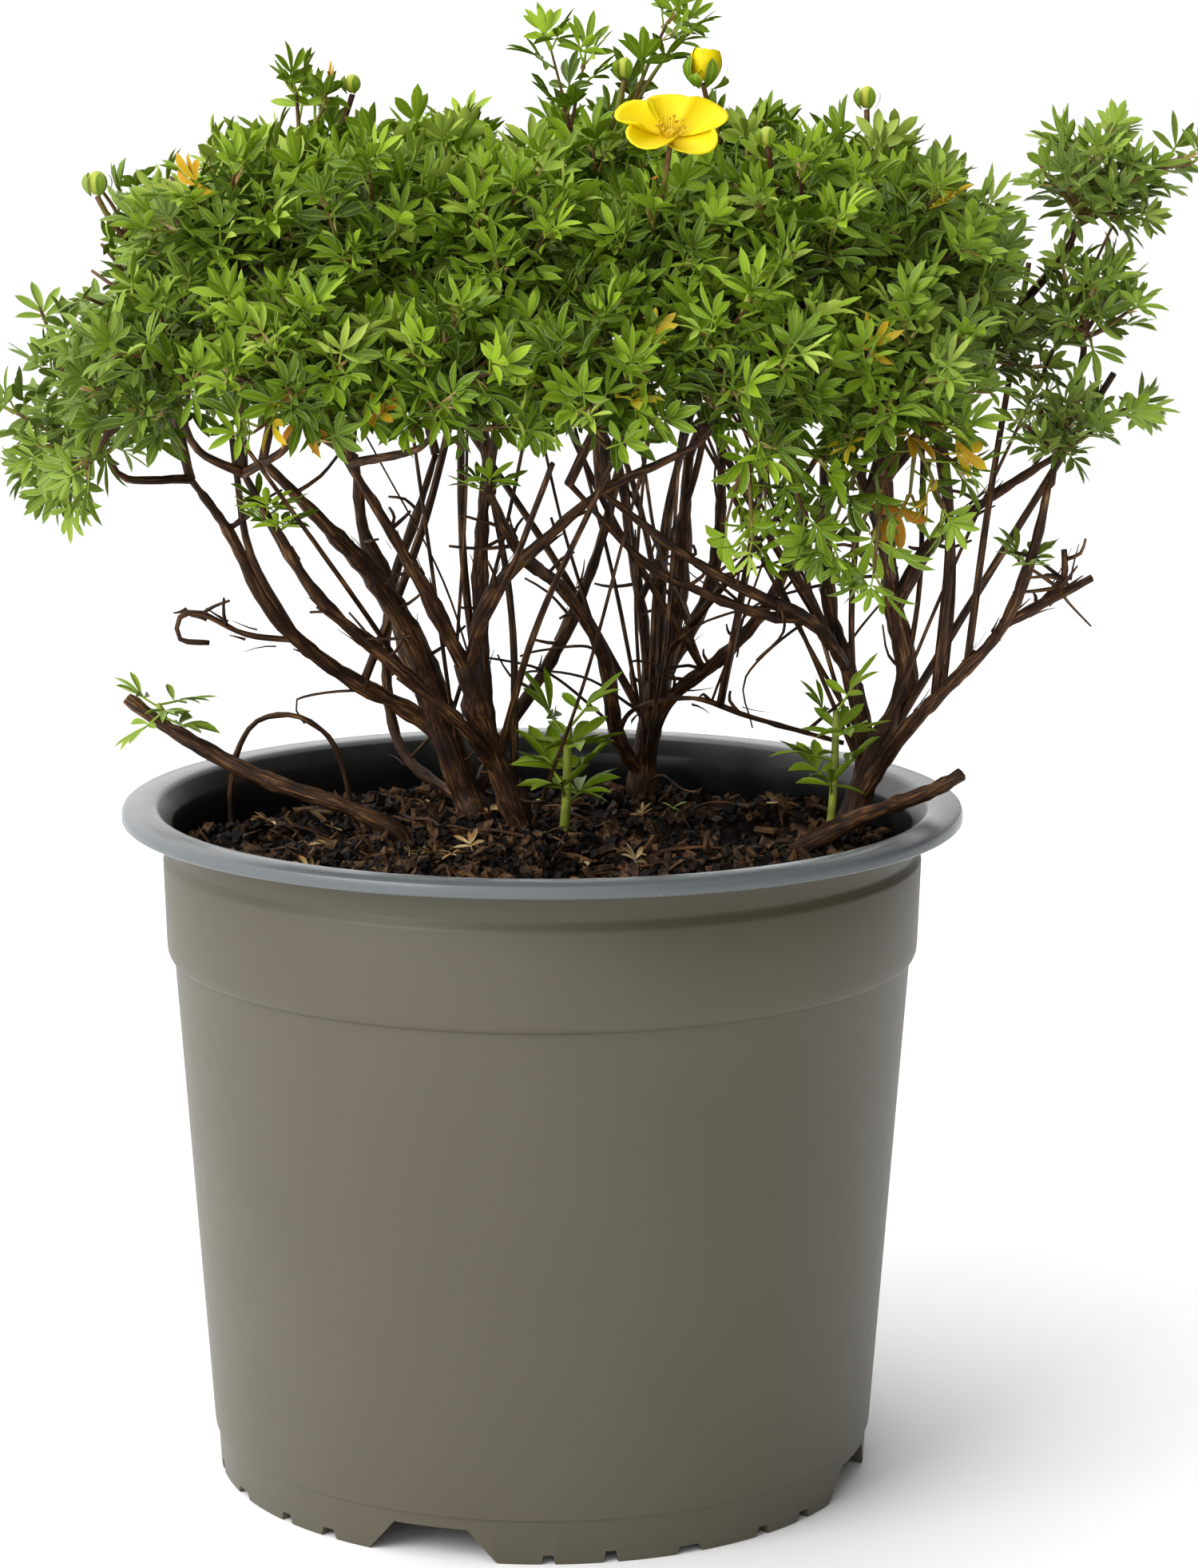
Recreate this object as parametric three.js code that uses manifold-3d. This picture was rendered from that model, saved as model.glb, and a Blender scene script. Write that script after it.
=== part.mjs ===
// A low shrubby cinquefoil in a five-litre nursery pot, in millimetres with +Z up.
// The origin is the centre of the flat foot under the pot, in the plane that the pot stands on.
// The camera side of the shrub is -Y, and +X is to the right of it.
import * as THREE from "three";
import { mergeVertices } from "three/addons/utils/BufferGeometryUtils.js";
import Module from "manifold-3d";

const wasm = await Module();
wasm.setup();

// Driving sizes of the pot, as heights above the ground and radii
const POT_HEIGHT = 183;
const RIM_RADIUS = 112.5;
const RIM_WIDTH = 9.9;
const LIP_DROP = 3.7;
const WALL = 1.4;
const NECK_RADIUS = 100.2;
const NECK_HEIGHT = 13;
const BAND_RADIUS = 101.8;
const BAND_BOTTOM = 146.5;
const BODY_TOP_RADIUS = 99.1;
const BODY_TOP = 142;
const RING_RADIUS = 89.9;
const RING_HEIGHT = 12.6;
const FOOT_RADIUS = 88.4;
const FLOOR_UNDERSIDE = 10.4;
const FOOT_PAD_RADIUS = 20;
const POT_SIDES = 32;

// The foot skirt repeats four times round the pot: a wide drain notch, then five small ones.
const FOOT_REPEATS = 4;
const WIDE_NOTCH_ANGLE = -19;
const WIDE_NOTCH = { foot: 37, top: 20, depth: 8.8 };
const SMALL_NOTCHES = [
  { angle: 20, width: 4.2, depth: 2.6 },
  { angle: 30.5, width: 4.6, depth: 3.2 },
  { angle: 44.5, width: 9, depth: 2.2 },
  { angle: 59.5, width: 5, depth: 2.6 },
  { angle: 70, width: 6, depth: 2.6 },
];
const DRAIN_HOLE = { radius: 77, length: 13, width: 9 };

// Soil, filled to a little under the rim
const SOIL_TOP = 168;
const SOIL_SIDES = 18;
const SOIL_RINGS = [0.25, 0.52, 0.78, 1];
const GAP = 0.35;

// Woody stems. Points run from the root crown up, and the radii are those of the two ends.
const STEM_SIDES = 5;
const THIN_STEM = { radius: 2.35, sides: 4 };
const TWIG_SIDES = 3;
const STEMS = {
  left_a: { crown: "left", radii: [5.2, 3.4], points: [
    [-8, 29, 158], [-5, 25, 168], [-13, 18, 191], [-17, 15, 202], [-21, 11, 218]] },
  left_a_left: { crown: "left", radii: [2.6, 1.9], points: [
    [-20, 12, 215], [-31, 0, 239], [-40, -12, 257], [-50, -25, 276]] },
  left_a_right: { crown: "left", radii: [2.4, 1.7], points: [
    [-20, 12, 215], [-14, 5, 237], [3, 0, 255], [17, -5, 268]] },
  left_b: { crown: "left", radii: [3.1, 2], points: [
    [-13, 20, 188], [-16, 28, 207], [-17, 28, 235], [-15, 22, 276]] },
  left_f: { crown: "left", radii: [2.4, 1.7], points: [
    [-13, 18, 189], [-22, 8, 202], [-40, -2, 220], [-56, -12, 236], [-65, -20, 250], [-77, -30, 274]] },
  left_c: { crown: "left", radii: [5.4, 2.1], points: [
    [-11, 32, 158], [-20, 40, 174], [-26, 38, 192], [-33, 32, 216], [-45, 22, 239],
    [-57, 12, 254], [-74, 0, 274]] },
  left_d: { crown: "left", radii: [3.2, 1.8], points: [
    [-23, 40, 182], [-33, 50, 203], [-39, 54, 218], [-44, 56, 236], [-50, 58, 248], [-52, 60, 268]] },
  left_e: { crown: "left", radii: [1.9, 1.4], points: [
    [-20, 40, 174], [-38, 64, 182], [-44, 72, 200], [-43, 72, 228], [-36, 72, 249], [-30, 72, 268]] },
  left_g: { crown: "left", radii: [3, 1.7], points: [
    [-24, 39, 186], [-33, 42, 197], [-58, 36, 213], [-74, 28, 230], [-85, 20, 253], [-94, 10, 268]] },
  left_h: { crown: "left", radii: [2.2, 1.6], points: [
    [-20, 40, 174], [-8, 55, 195], [5, 60, 216], [16, 62, 243], [22, 62, 268]] },
  left_curl: { crown: "left", radii: [0.9, 0.8], points: [
    [-67, 32, 221], [-81, 30, 223], [-93, 28, 229], [-99, 28, 228], [-99, 28, 222], [-91, 28, 221]] },
  centre_a: { crown: "centre", radii: [5, 2], points: [
    [28, 72, 158], [29, 72, 180], [33, 70, 202], [38, 68, 226], [41, 64, 268]] },
  centre_b: { crown: "centre", radii: [2.5, 1.8], points: [
    [33, 71, 202], [46, 75, 225], [50, 78, 242], [51, 80, 266]] },
  centre_c: { crown: "centre", radii: [2.6, 1.6], points: [
    [28, 72, 176], [21, 62, 190], [17, 50, 214], [6, 38, 234], [-6, 10, 248], [-14, -18, 268]] },
  centre_d: { crown: "centre", radii: [2.2, 1.5], points: [
    [29, 72, 182], [30, 85, 202], [29, 88, 218], [22, 92, 262]] },
  centre_e: { crown: "centre", radii: [2.6, 1.7], points: [
    [29, 72, 184], [37, 66, 200], [49, 58, 211], [58, 50, 222], [65, 44, 234], [72, 38, 254]] },
  centre_long: { crown: "centre", radii: [0.9, 0.8], points: [
    [21, 62, 189], [26, 50, 199], [42, 44, 203], [58, 42, 198], [84, 46, 190]] },
  right_a: { crown: "right", radii: [5, 1.9], points: [
    [82, 20, 158], [86, 20, 178], [91, 20, 192], [99, 18, 212], [94, 15, 238], [92, 8, 272]] },
  right_b: { crown: "right", radii: [3.4, 1.8], points: [
    [85, 20, 172], [89, 28, 192], [84, 32, 213], [79, 36, 230], [77, 40, 271]] },
  right_c: { crown: "right", radii: [2.6, 1.6], points: [
    [87, 19, 180], [98, 8, 200], [110, 0, 215], [122, -8, 231], [129, -14, 252], [132, -18, 270]] },
  right_c_cut: { crown: "right", radii: [1.7, 1.4], points: [
    [122, -8, 231], [133, -6, 237], [146, -2, 243]] },
  right_c_spur: { crown: "right", radii: [1.2, 1], points: [
    [133, -6, 237], [138, -5, 243], [138, -5, 251]] },
  right_d: { crown: "right", radii: [2.3, 1.8], points: [
    [95, 15, 232], [103, 10, 249], [113, 4, 259], [123, 0, 267], [136, -4, 276]] },
  right_front: { crown: "right", radii: [2.1, 1.7], points: [
    [94, 15, 238], [90, -8, 252], [84, -30, 268]] },
  right_arm: { crown: "right", radii: [1.9, 1.6], points: [
    [92, 8, 268], [110, 12, 290], [126, 6, 314]] },
  cross_upper: { crown: "right", radii: [2, 1.4], points: [
    [84, 32, 213], [72, 10, 230], [53, -8, 241], [35, -20, 253], [15, -34, 270]] },
  cross_lower: { crown: "right", radii: [1.6, 1.2], points: [
    [72, 10, 230], [60, 4, 232], [43, -2, 239], [27, -8, 248], [7, -18, 270]] },
  cut_left: { crown: "cut_left", radii: [2.7, 2.3], points: [
    [-36, 10, 158], [-38, 10, 170], [-51, 10, 178], [-67, 12, 183], [-83, 15, 189],
    [-103, 18, 200], [-113, 20, 207]] },
  cut_right: { crown: "cut_right", radii: [3, 2.4], points: [
    [60, -8, 158], [66, -6, 168], [82, -3, 177], [92, -12, 183], [103, -20, 189], [110, -24, 194]] },
  arch: { crown: "arch", radii: [0.9, 0.8], points: [
    [-86, 35, 158], [-86, 35, 182], [-81, 34, 196], [-73, 34, 200], [-64, 34, 198],
    [-56, 34, 188], [-50, 34, 158]] },
};
const CROWNS = {
  left: "stems_left_crown",
  centre: "stems_centre_crown",
  right: "stems_right_crown",
  cut_left: "cut_branch_left",
  cut_right: "cut_branch_right",
  arch: "arching_dead_twig",
};

// Leafy sprays: the stem that carries each one, its centre, its reach and its number of leaves
const SPRAYS = [
  ["front_1", "left_f", [-96, -50, 302], 32, 5],
  ["front_2", "left_f", [-58, -66, 302], 32, 5],
  ["front_3", "left_a_left", [-22, -70, 300], 31, 5],
  ["front_4", "cross_upper", [13, -70, 300], 30, 5],
  ["front_5", "cross_upper", [50, -66, 304], 32, 5],
  ["front_6", "right_front", [88, -54, 298], 32, 5],
  ["upper_1", "left_f", [-78, -38, 336], 30, 4],
  ["upper_2", "left_a_left", [-44, -44, 334], 31, 4],
  ["upper_3", "centre_c", [-8, -48, 332], 31, 4],
  ["upper_4", "cross_lower", [27, -48, 326], 29, 4],
  ["upper_5", "right_front", [63, -42, 334], 31, 4],
  ["upper_6", "right_front", [97, -32, 328], 29, 4],
  ["top_1", "left_g", [-120, -14, 284], 26, 4],
  ["top_2", "left_g", [-102, -2, 322], 28, 3],
  ["top_3", "left_c", [-62, -6, 338], 30, 4],
  ["top_4", "left_b", [-26, -8, 340], 30, 3],
  ["top_5", "left_a_right", [12, -8, 340], 30, 3],
  ["top_6", "centre_e", [52, -6, 340], 30, 3],
  ["top_7", "right_a", [86, 0, 336], 30, 3],
  ["top_8", "right_a", [114, -8, 308], 24, 3],
  ["top_9", "right_arm", [141, -14, 345], 22, 3],
  ["top_10", "right_d", [142, -14, 314], 20, 3],
  ["top_11", "right_c", [134, -20, 283], 15, 2],
  ["back_1", "left_g", [-102, 34, 300], 29, 3],
  ["back_2", "left_c", [-66, 34, 326], 31, 3],
  ["back_3", "left_b", [-26, 32, 334], 32, 3],
  ["back_4", "left_h", [16, 32, 334], 32, 3],
  ["back_5", "centre_a", [58, 32, 332], 32, 3],
  ["back_6", "right_b", [96, 30, 318], 31, 3],
  ["back_7", "left_d", [-76, 74, 296], 30, 3],
  ["back_8", "left_e", [-38, 78, 312], 32, 3],
  ["back_9", "centre_d", [4, 82, 314], 32, 3],
  ["back_10", "centre_b", [46, 78, 312], 32, 3],
  ["back_11", "right_b", [84, 68, 298], 30, 3],
];

// Smaller shoots that stand out of a spray and are one body with it: centre, reach and leaves
const SIDE_SHOOTS = [
  ["top_1", [-128, -12, 307], 15, 2],
  ["top_2", [-112, -8, 341], 9, 1],
  ["top_3", [-63, -12, 363], 13, 1],
  ["top_5", [4, -16, 374], 13, 1],
  ["top_5", [29, -14, 381], 13, 1],
  ["top_9", [160, -12, 350], 14, 2],
  ["top_11", [148, -12, 286], 10, 1],
  ["front_5", [52, -66, 270], 15, 2],
  ["front_6", [84, -64, 262], 16, 2],
];
const CORE_SIDES = 5;
const CORE_WIDTH = 0.33;
const CORE_LENGTH = 0.66;
const SHOOT_CORE_WIDTH = 0.25;
const CORE_STEPS = 12;
const CELL_MARGIN = 0.18;

// Leaves: thickness, half width of the stalk, and the blade's length as a share of the spray's reach
const LEAF_THICKNESS = 0.65;
const STALK_HALF = 0.7;
const BLADE_SHARE = 0.85;
const LEAF_TILT = 0.85;
const LEAF_SIZES = [1, 0.92, 0.84, 0.76, 0.68, 0.6, 0.52];
const LEAF_DIRECTIONS = 70;
const OUTER_LEAVES_FIRST = 0.7;
const CANOPY_CENTRE = [0, 5, 300];

// Green sprouts: foot in the soil or on a branch, tip, stem radius, leaf length and leaves
const SPROUTS = [
  ["sprout_front", [5, 18, 160], [7, 14, 202], 1.3, 18, 4],
  ["sprout_right", [77, 7, 163], [79, 5, 208], 1, 15, 3],
  ["tuft_on_cut_branch", [-103, 17.5, 203.4], [-104, 16, 211], 1, 14, 3],
];

// The open flower and the half-open bud
const FLOWER = { at: [33, -62, 362], facing: [0.04, -0.64, 0.77], radius: 15, petals: 5 };
const OPEN_BUD = { at: [43, -22, 377], radius: 4.3, height: 9 };

const MATERIALS = {
  pot: new THREE.MeshStandardMaterial({ color: 0x6f6a59, roughness: 0.5 }),
  soil: new THREE.MeshStandardMaterial({ color: 0x2c1e17, roughness: 1 }),
  bark: new THREE.MeshStandardMaterial({ color: 0x4a3126, roughness: 0.85 }),
  leaf: new THREE.MeshStandardMaterial({ color: 0x5f8f35, roughness: 0.6 }),
  petal: new THREE.MeshStandardMaterial({ color: 0xf2d413, roughness: 0.5 }),
};

// Seeded random numbers from 0 to 1
function makeRandom(seed) {
  let state = seed;
  return () => {
    state = (state * 16807) % 2147483647;
    return state / 2147483647;
  };
}

const vec = (p) => new THREE.Vector3(p[0], p[1], p[2]);

// A closed three.js geometry as a solid, and a solid as a geometry again
function solidOf(geometry) {
  const bare = new THREE.BufferGeometry();
  bare.setAttribute("position", geometry.getAttribute("position"));
  if (geometry.index) bare.setIndex(geometry.index);
  const merged = mergeVertices(bare, 1e-4);
  return new wasm.Manifold(
    new wasm.Mesh({
      numProp: 3,
      vertProperties: new Float32Array(merged.attributes.position.array),
      triVerts: new Uint32Array(merged.index.array),
    }),
  );
}

function geometryOf(solid) {
  const mesh = solid.getMesh();
  const geometry = new THREE.BufferGeometry();
  geometry.setAttribute("position", new THREE.BufferAttribute(mesh.vertProperties, 3));
  geometry.setIndex(new THREE.BufferAttribute(mesh.triVerts, 1));
  geometry.computeVertexNormals();
  return geometry;
}

// One body of all the solids, without any loose scrap that a crossing leaves
function join(solids) {
  const bodies = wasm.Manifold.union(solids).decompose();
  return bodies.reduce((big, body) => (body.volume() > big.volume() ? body : big));
}

function geometryFrom(points, faces) {
  const geometry = new THREE.BufferGeometry();
  geometry.setAttribute("position", new THREE.Float32BufferAttribute(points.flatMap((p) => [p.x, p.y, p.z]), 3));
  geometry.setIndex(faces.flat());
  return geometry;
}

// A closed tube of few sides through the points, with its own radius at each point and flat ends
function tube(points, radii, sides) {
  const ring = [];
  const last = points.length - 1;
  let side = new THREE.Vector3(1, 0, 0);
  points.forEach((p, i) => {
    const along = points[Math.min(i + 1, last)].clone().sub(points[Math.max(i - 1, 0)]).normalize();
    side = side.clone().addScaledVector(along, -side.dot(along));
    if (side.length() < 0.1) side = new THREE.Vector3(0, 1, 0).addScaledVector(along, -along.y);
    side.normalize();
    const up = new THREE.Vector3().crossVectors(along, side);
    for (let k = 0; k < sides; k++) {
      const turn = (2 * Math.PI * k) / sides;
      ring.push(
        p.clone()
          .addScaledVector(side, radii[i] * Math.cos(turn))
          .addScaledVector(up, radii[i] * Math.sin(turn)),
      );
    }
  });
  const faces = [];
  for (let i = 0; i < last; i++)
    for (let k = 0; k < sides; k++) {
      const a = i * sides + k;
      const b = i * sides + ((k + 1) % sides);
      faces.push([a, b, b + sides], [a, b + sides, a + sides]);
    }
  for (let k = 1; k < sides - 1; k++) {
    faces.push([0, k + 1, k]);
    const top = last * sides;
    faces.push([top, top + k, top + k + 1]);
  }
  return solidOf(geometryFrom(ring, faces));
}

const evenRadii = (count, ends, extra = 0) =>
  Array.from({ length: count }, (_, i) => ends[0] + ((ends[1] - ends[0]) * i) / (count - 1) + extra);

// The pot's wall, turned from one profile, with its foot notches and drain holes cut
function makePot() {
  const rimInner = RIM_RADIUS - RIM_WIDTH;
  const neckBottom = POT_HEIGHT - NECK_HEIGHT;
  const profile = [
    [0, 0],
    [FOOT_PAD_RADIUS, 0],
    [FOOT_PAD_RADIUS + 2, FLOOR_UNDERSIDE],
    [FOOT_RADIUS - 2.6, FLOOR_UNDERSIDE],
    [FOOT_RADIUS - 2.4, 0],
    [FOOT_RADIUS, 0],
    [RING_RADIUS - 0.9, RING_HEIGHT - 0.9],
    [RING_RADIUS, RING_HEIGHT],
    [BODY_TOP_RADIUS, BODY_TOP],
    [BAND_RADIUS - 1, BAND_BOTTOM],
    [BAND_RADIUS, neckBottom - 1.2],
    [NECK_RADIUS, neckBottom + 0.6],
    [NECK_RADIUS + 0.6, POT_HEIGHT - LIP_DROP],
    [rimInner, POT_HEIGHT - 1.8],
    [RIM_RADIUS - 1.8, POT_HEIGHT - 1.8],
    [RIM_RADIUS - 1.5, POT_HEIGHT - LIP_DROP],
    [RIM_RADIUS, POT_HEIGHT - LIP_DROP],
    [RIM_RADIUS, POT_HEIGHT - 1.4],
    [RIM_RADIUS - 1.3, POT_HEIGHT],
    [rimInner + 1.8, POT_HEIGHT],
    [rimInner, POT_HEIGHT - 0.8],
    [NECK_RADIUS - WALL + 0.4, POT_HEIGHT - LIP_DROP - 0.8],
    [NECK_RADIUS - WALL, neckBottom + 0.8],
    [BAND_RADIUS - WALL, neckBottom - 1.8],
    [BODY_TOP_RADIUS - WALL, BODY_TOP + 0.2],
    [RING_RADIUS - WALL, FLOOR_UNDERSIDE + WALL],
    [0, FLOOR_UNDERSIDE + WALL],
  ];
  const points = profile.map(([r, z]) => new THREE.Vector2(r, z));
  const wall = new THREE.LatheGeometry(points, POT_SIDES);
  wall.rotateX(Math.PI / 2);
  return solidOf(wall).subtract(wasm.Manifold.union(footCuts()));
}

// A cutter that runs out through the foot skirt, with sides that lean in towards its top
function notchCutter(angle, footWidth, topWidth, depth) {
  const outline = new THREE.Shape([
    new THREE.Vector2(-footWidth / 2, -1),
    new THREE.Vector2(footWidth / 2, -1),
    new THREE.Vector2(topWidth / 2, depth),
    new THREE.Vector2(-topWidth / 2, depth),
  ]);
  const cutter = new THREE.ExtrudeGeometry(outline, { depth: 20, bevelEnabled: false });
  cutter.rotateX(Math.PI / 2);
  cutter.translate(0, -FOOT_RADIUS + 12, 0);
  cutter.rotateZ(THREE.MathUtils.degToRad(angle));
  return solidOf(cutter);
}

function footCuts() {
  const cuts = [];
  for (let turn = 0; turn < FOOT_REPEATS; turn++) {
    const start = WIDE_NOTCH_ANGLE + turn * (360 / FOOT_REPEATS);
    cuts.push(notchCutter(start, WIDE_NOTCH.foot, WIDE_NOTCH.top, WIDE_NOTCH.depth));
    for (const notch of SMALL_NOTCHES)
      cuts.push(notchCutter(start + notch.angle, notch.width, notch.width * 0.6, notch.depth));
    const hole = new THREE.BoxGeometry(DRAIN_HOLE.length, DRAIN_HOLE.width, 12);
    hole.translate(0, -DRAIN_HOLE.radius, FLOOR_UNDERSIDE);
    hole.rotateZ(THREE.MathUtils.degToRad(start));
    cuts.push(solidOf(hole));
  }
  return cuts;
}

// Height of the hummocky soil at a place in the plan
function soilHeight(x, y) {
  const hummocks =
    2 * Math.sin(x / 17 + 0.8) * Math.cos(y / 14 - 0.4) + 1.4 * Math.sin((x - y) / 9) + 1.5;
  return SOIL_TOP + hummocks - 3 * Math.pow(Math.hypot(x, y) / BODY_TOP_RADIUS, 4);
}

// Soil that fills the pot down to its floor, with plain holes for what stands in it
function makeSoil(holes) {
  const inner = [
    [RING_RADIUS - WALL, FLOOR_UNDERSIDE + WALL + GAP],
    [BODY_TOP_RADIUS - WALL, BODY_TOP],
  ];
  const points = [new THREE.Vector3(0, 0, soilHeight(0, 0))];
  const at = (radius, k) => {
    const turn = (2 * Math.PI * k) / SOIL_SIDES;
    return [radius * Math.sin(turn), -radius * Math.cos(turn)];
  };
  for (const share of SOIL_RINGS)
    for (let k = 0; k < SOIL_SIDES; k++) {
      const [x, y] = at(share * (NECK_RADIUS - WALL - 2 * GAP), k);
      points.push(new THREE.Vector3(x, y, soilHeight(x, y)));
    }
  for (const [radius, z] of inner.reverse())
    for (let k = 0; k < SOIL_SIDES; k++) {
      const [x, y] = at(radius - 2 * GAP, k);
      points.push(new THREE.Vector3(x, y, z));
    }
  const faces = [];
  const rings = SOIL_RINGS.length + inner.length;
  const index = (ring, k) => 1 + ring * SOIL_SIDES + (k % SOIL_SIDES);
  for (let k = 0; k < SOIL_SIDES; k++) {
    faces.push([0, index(0, k), index(0, k + 1)]);
    for (let ring = 0; ring < rings - 1; ring++) {
      faces.push([index(ring, k), index(ring + 1, k), index(ring + 1, k + 1)]);
      faces.push([index(ring, k), index(ring + 1, k + 1), index(ring, k + 1)]);
    }
    if (k > 0 && k < SOIL_SIDES - 1)
      faces.push([index(rings - 1, 0), index(rings - 1, k + 1), index(rings - 1, k)]);
  }
  return solidOf(geometryFrom(points, faces)).subtract(wasm.Manifold.union(holes));
}

function stemSolid(stem, extra) {
  const points = stem.points.map(vec);
  const sides = stem.radii[0] > THIN_STEM.radius ? STEM_SIDES : THIN_STEM.sides;
  return tube(points, evenRadii(points.length, stem.radii, extra), sides);
}

// The line of a spray's own shoot, from its foot on the twig to its tip
function shootLine(from, centre, reach) {
  const along = centre.clone().sub(from).normalize();
  along.add(new THREE.Vector3(0, 0, 0.5)).normalize();
  const half = reach * CORE_LENGTH;
  return {
    along,
    foot: centre.clone().addScaledVector(along, -half),
    tip: centre.clone().addScaledVector(along, half),
  };
}

// The woody twig from the end of a stem to the foot of a spray
function twigSolid(from, line, extra) {
  const end = line.foot.clone().addScaledVector(line.along, -GAP);
  const before = end.clone().addScaledVector(line.along, -7);
  return tube([from, before, end], [1.8, 1.4, 1.3].map((r) => r + extra), TWIG_SIDES);
}

// The core of a spray: the crowded inner leaves and shoots, from the foot to the tip
function corePoints(line, radius, random) {
  const shares = [0, 0.3, 0.68];
  const widths = [2.4, radius, radius * 0.82];
  const side = new THREE.Vector3(1, 0, 0);
  if (Math.abs(line.along.x) > 0.9) side.set(0, 1, 0);
  side.addScaledVector(line.along, -side.dot(line.along)).normalize();
  const up = new THREE.Vector3().crossVectors(line.along, side);
  const points = [];
  shares.forEach((share, i) => {
    const middle = line.foot.clone().lerp(line.tip, share);
    for (let k = 0; k < CORE_SIDES; k++) {
      const turn = (2 * Math.PI * (k + 0.5 * i)) / CORE_SIDES;
      const r = widths[i] * (i ? 0.85 + 0.3 * random() : 1);
      points.push(
        middle.clone().addScaledVector(side, r * Math.cos(turn)).addScaledVector(up, r * Math.sin(turn)),
      );
    }
  });
  points.push(line.tip.clone());
  return points;
}

function coreSolid(points) {
  const tip = points.length - 1;
  const faces = [];
  for (let k = 0; k < CORE_SIDES; k++) {
    const next = (k + 1) % CORE_SIDES;
    for (let i = 0; i < 2; i++) {
      const a = i * CORE_SIDES;
      faces.push([a + k, a + next, a + CORE_SIDES + k]);
      faces.push([a + next, a + CORE_SIDES + next, a + CORE_SIDES + k]);
    }
    faces.push([2 * CORE_SIDES + k, 2 * CORE_SIDES + next, tip]);
    if (k > 0 && k < CORE_SIDES - 1) faces.push([0, k + 1, k]);
  }
  return solidOf(geometryFrom(points, faces));
}

// Outline of one five-part leaf, flat, with its stalk behind the origin and its middle leaflet along +X.
// Each leaflet is a point of the one outline, cut in towards the rib on both sides.
function leafOutline(stalk, blade) {
  const point = (angle, reach) => {
    const turn = THREE.MathUtils.degToRad(angle);
    return [blade * reach * Math.cos(turn), blade * reach * Math.sin(turn)];
  };
  const right = [point(-140, 0.08), point(-102, 0.8), point(-76, 0.31), point(-51, 0.95), point(-25, 0.36)];
  const left = right.map(([x, y]) => [x, -y]).reverse();
  return [[-stalk, -STALK_HALF], ...right, point(0, 1), ...left, [-stalk, STALK_HALF]];
}

// The corners of a leaf's two faces: the stalk runs out to the base, and the arched blade lies along its axis
function leafPoints(stalk, blade, base, out, axis, droop) {
  const tangent = axis.clone().addScaledVector(out, -axis.dot(out)).normalize();
  const normal = out.clone().addScaledVector(axis, -out.dot(axis)).normalize();
  const side = new THREE.Vector3().crossVectors(normal, axis);
  const outline = leafOutline(stalk, blade);
  const faces = [[], []];
  for (const [x, y] of outline) {
    const inStalk = x <= -stalk;
    const off = Math.hypot(x, y) / blade;
    const middle = base.clone().addScaledVector(side, y).addScaledVector(inStalk ? out : axis, x);
    if (!inStalk) middle.addScaledVector(normal, -droop * blade * off * off);
    const up = inStalk ? tangent.clone().negate() : normal;
    faces[0].push(middle.clone().addScaledVector(up, -LEAF_THICKNESS / 2));
    faces[1].push(middle.clone().addScaledVector(up, LEAF_THICKNESS / 2));
  }
  return { outline, points: [...faces[0], ...faces[1]] };
}

function leafSolid({ outline, points }) {
  const flat = outline.map(([x, y]) => new THREE.Vector2(x, y));
  const count = flat.length;
  const faces = [];
  for (const [a, b, c] of THREE.ShapeUtils.triangulateShape(flat, []))
    faces.push([a, c, b], [a + count, b + count, c + count]);
  for (let i = 0; i < count; i++) {
    const next = (i + 1) % count;
    faces.push([i, next, next + count], [i, next + count, i + count]);
  }
  return solidOf(geometryFrom(points, faces));
}

// The planes between a spray and its neighbours, each as a direction and a distance from its centre
function cellPlanes(own, sites) {
  return sites
    .filter((other) => other !== own)
    .map((other) => {
      const between = other.centre.clone().sub(own.centre);
      const far = between.length();
      const share = (far * far + own.reach ** 2 - other.reach ** 2) / (2 * far);
      return { toward: between.divideScalar(far), share: share - CELL_MARGIN };
    })
    .filter((plane) => plane.share < 1.5 * own.reach);
}

// A spray keeps to its own side of each of those planes.
const staysInside = (points, own) =>
  own.planes.every((plane) => points.every((p) => p.clone().sub(own.centre).dot(plane.toward) < plane.share));

// Directions spread evenly over a sphere
function evenDirections(count) {
  return Array.from({ length: count }, (_, i) => {
    const z = 1 - (2 * i + 1) / count;
    const turn = i * Math.PI * (3 - Math.sqrt(5));
    const r = Math.sqrt(1 - z * z);
    return new THREE.Vector3(r * Math.cos(turn), r * Math.sin(turn), z);
  });
}

// One leaf that stands out of a core in a direction, as large as its surroundings allow
function fitLeaf(out, shoot, own, keepOff, random) {
  const { line, centre, reach, width } = shoot;
  const upright = new THREE.Vector3(0, 0, 1).addScaledVector(out, -out.z);
  if (upright.length() < 0.2) upright.set(1, 0, 0).addScaledVector(out, -out.x);
  const tangent = upright.normalize().applyAxisAngle(out, (random() - 0.5) * 2.2);
  const axis = out.clone().multiplyScalar(LEAF_TILT).addScaledVector(tangent, 1).normalize();
  const droop = 0.02 + 0.25 * random();
  const lengthwise = out.dot(line.along);
  const across = Math.sqrt(1 - lengthwise ** 2);
  const surface = reach / Math.hypot(across / width, lengthwise / CORE_LENGTH);
  const base = centre.clone().addScaledVector(out, 1.1 * surface + 1);
  for (const size of LEAF_SIZES) {
    const leaf = leafPoints(0.45 * surface + 1, BLADE_SHARE * size * reach, base, out, axis, droop);
    if (leaf.points.some((p) => p.distanceTo(centre) > 1.2 * reach)) continue;
    if (!staysInside(leaf.points, own)) continue;
    const solid = leafSolid(leaf);
    if (keepOff.some((other) => !solid.intersect(other).isEmpty())) continue;
    return { out, rank: size + OUTER_LEAVES_FIRST * out.dot(own.outward), solid };
  }
  return null;
}

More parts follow.
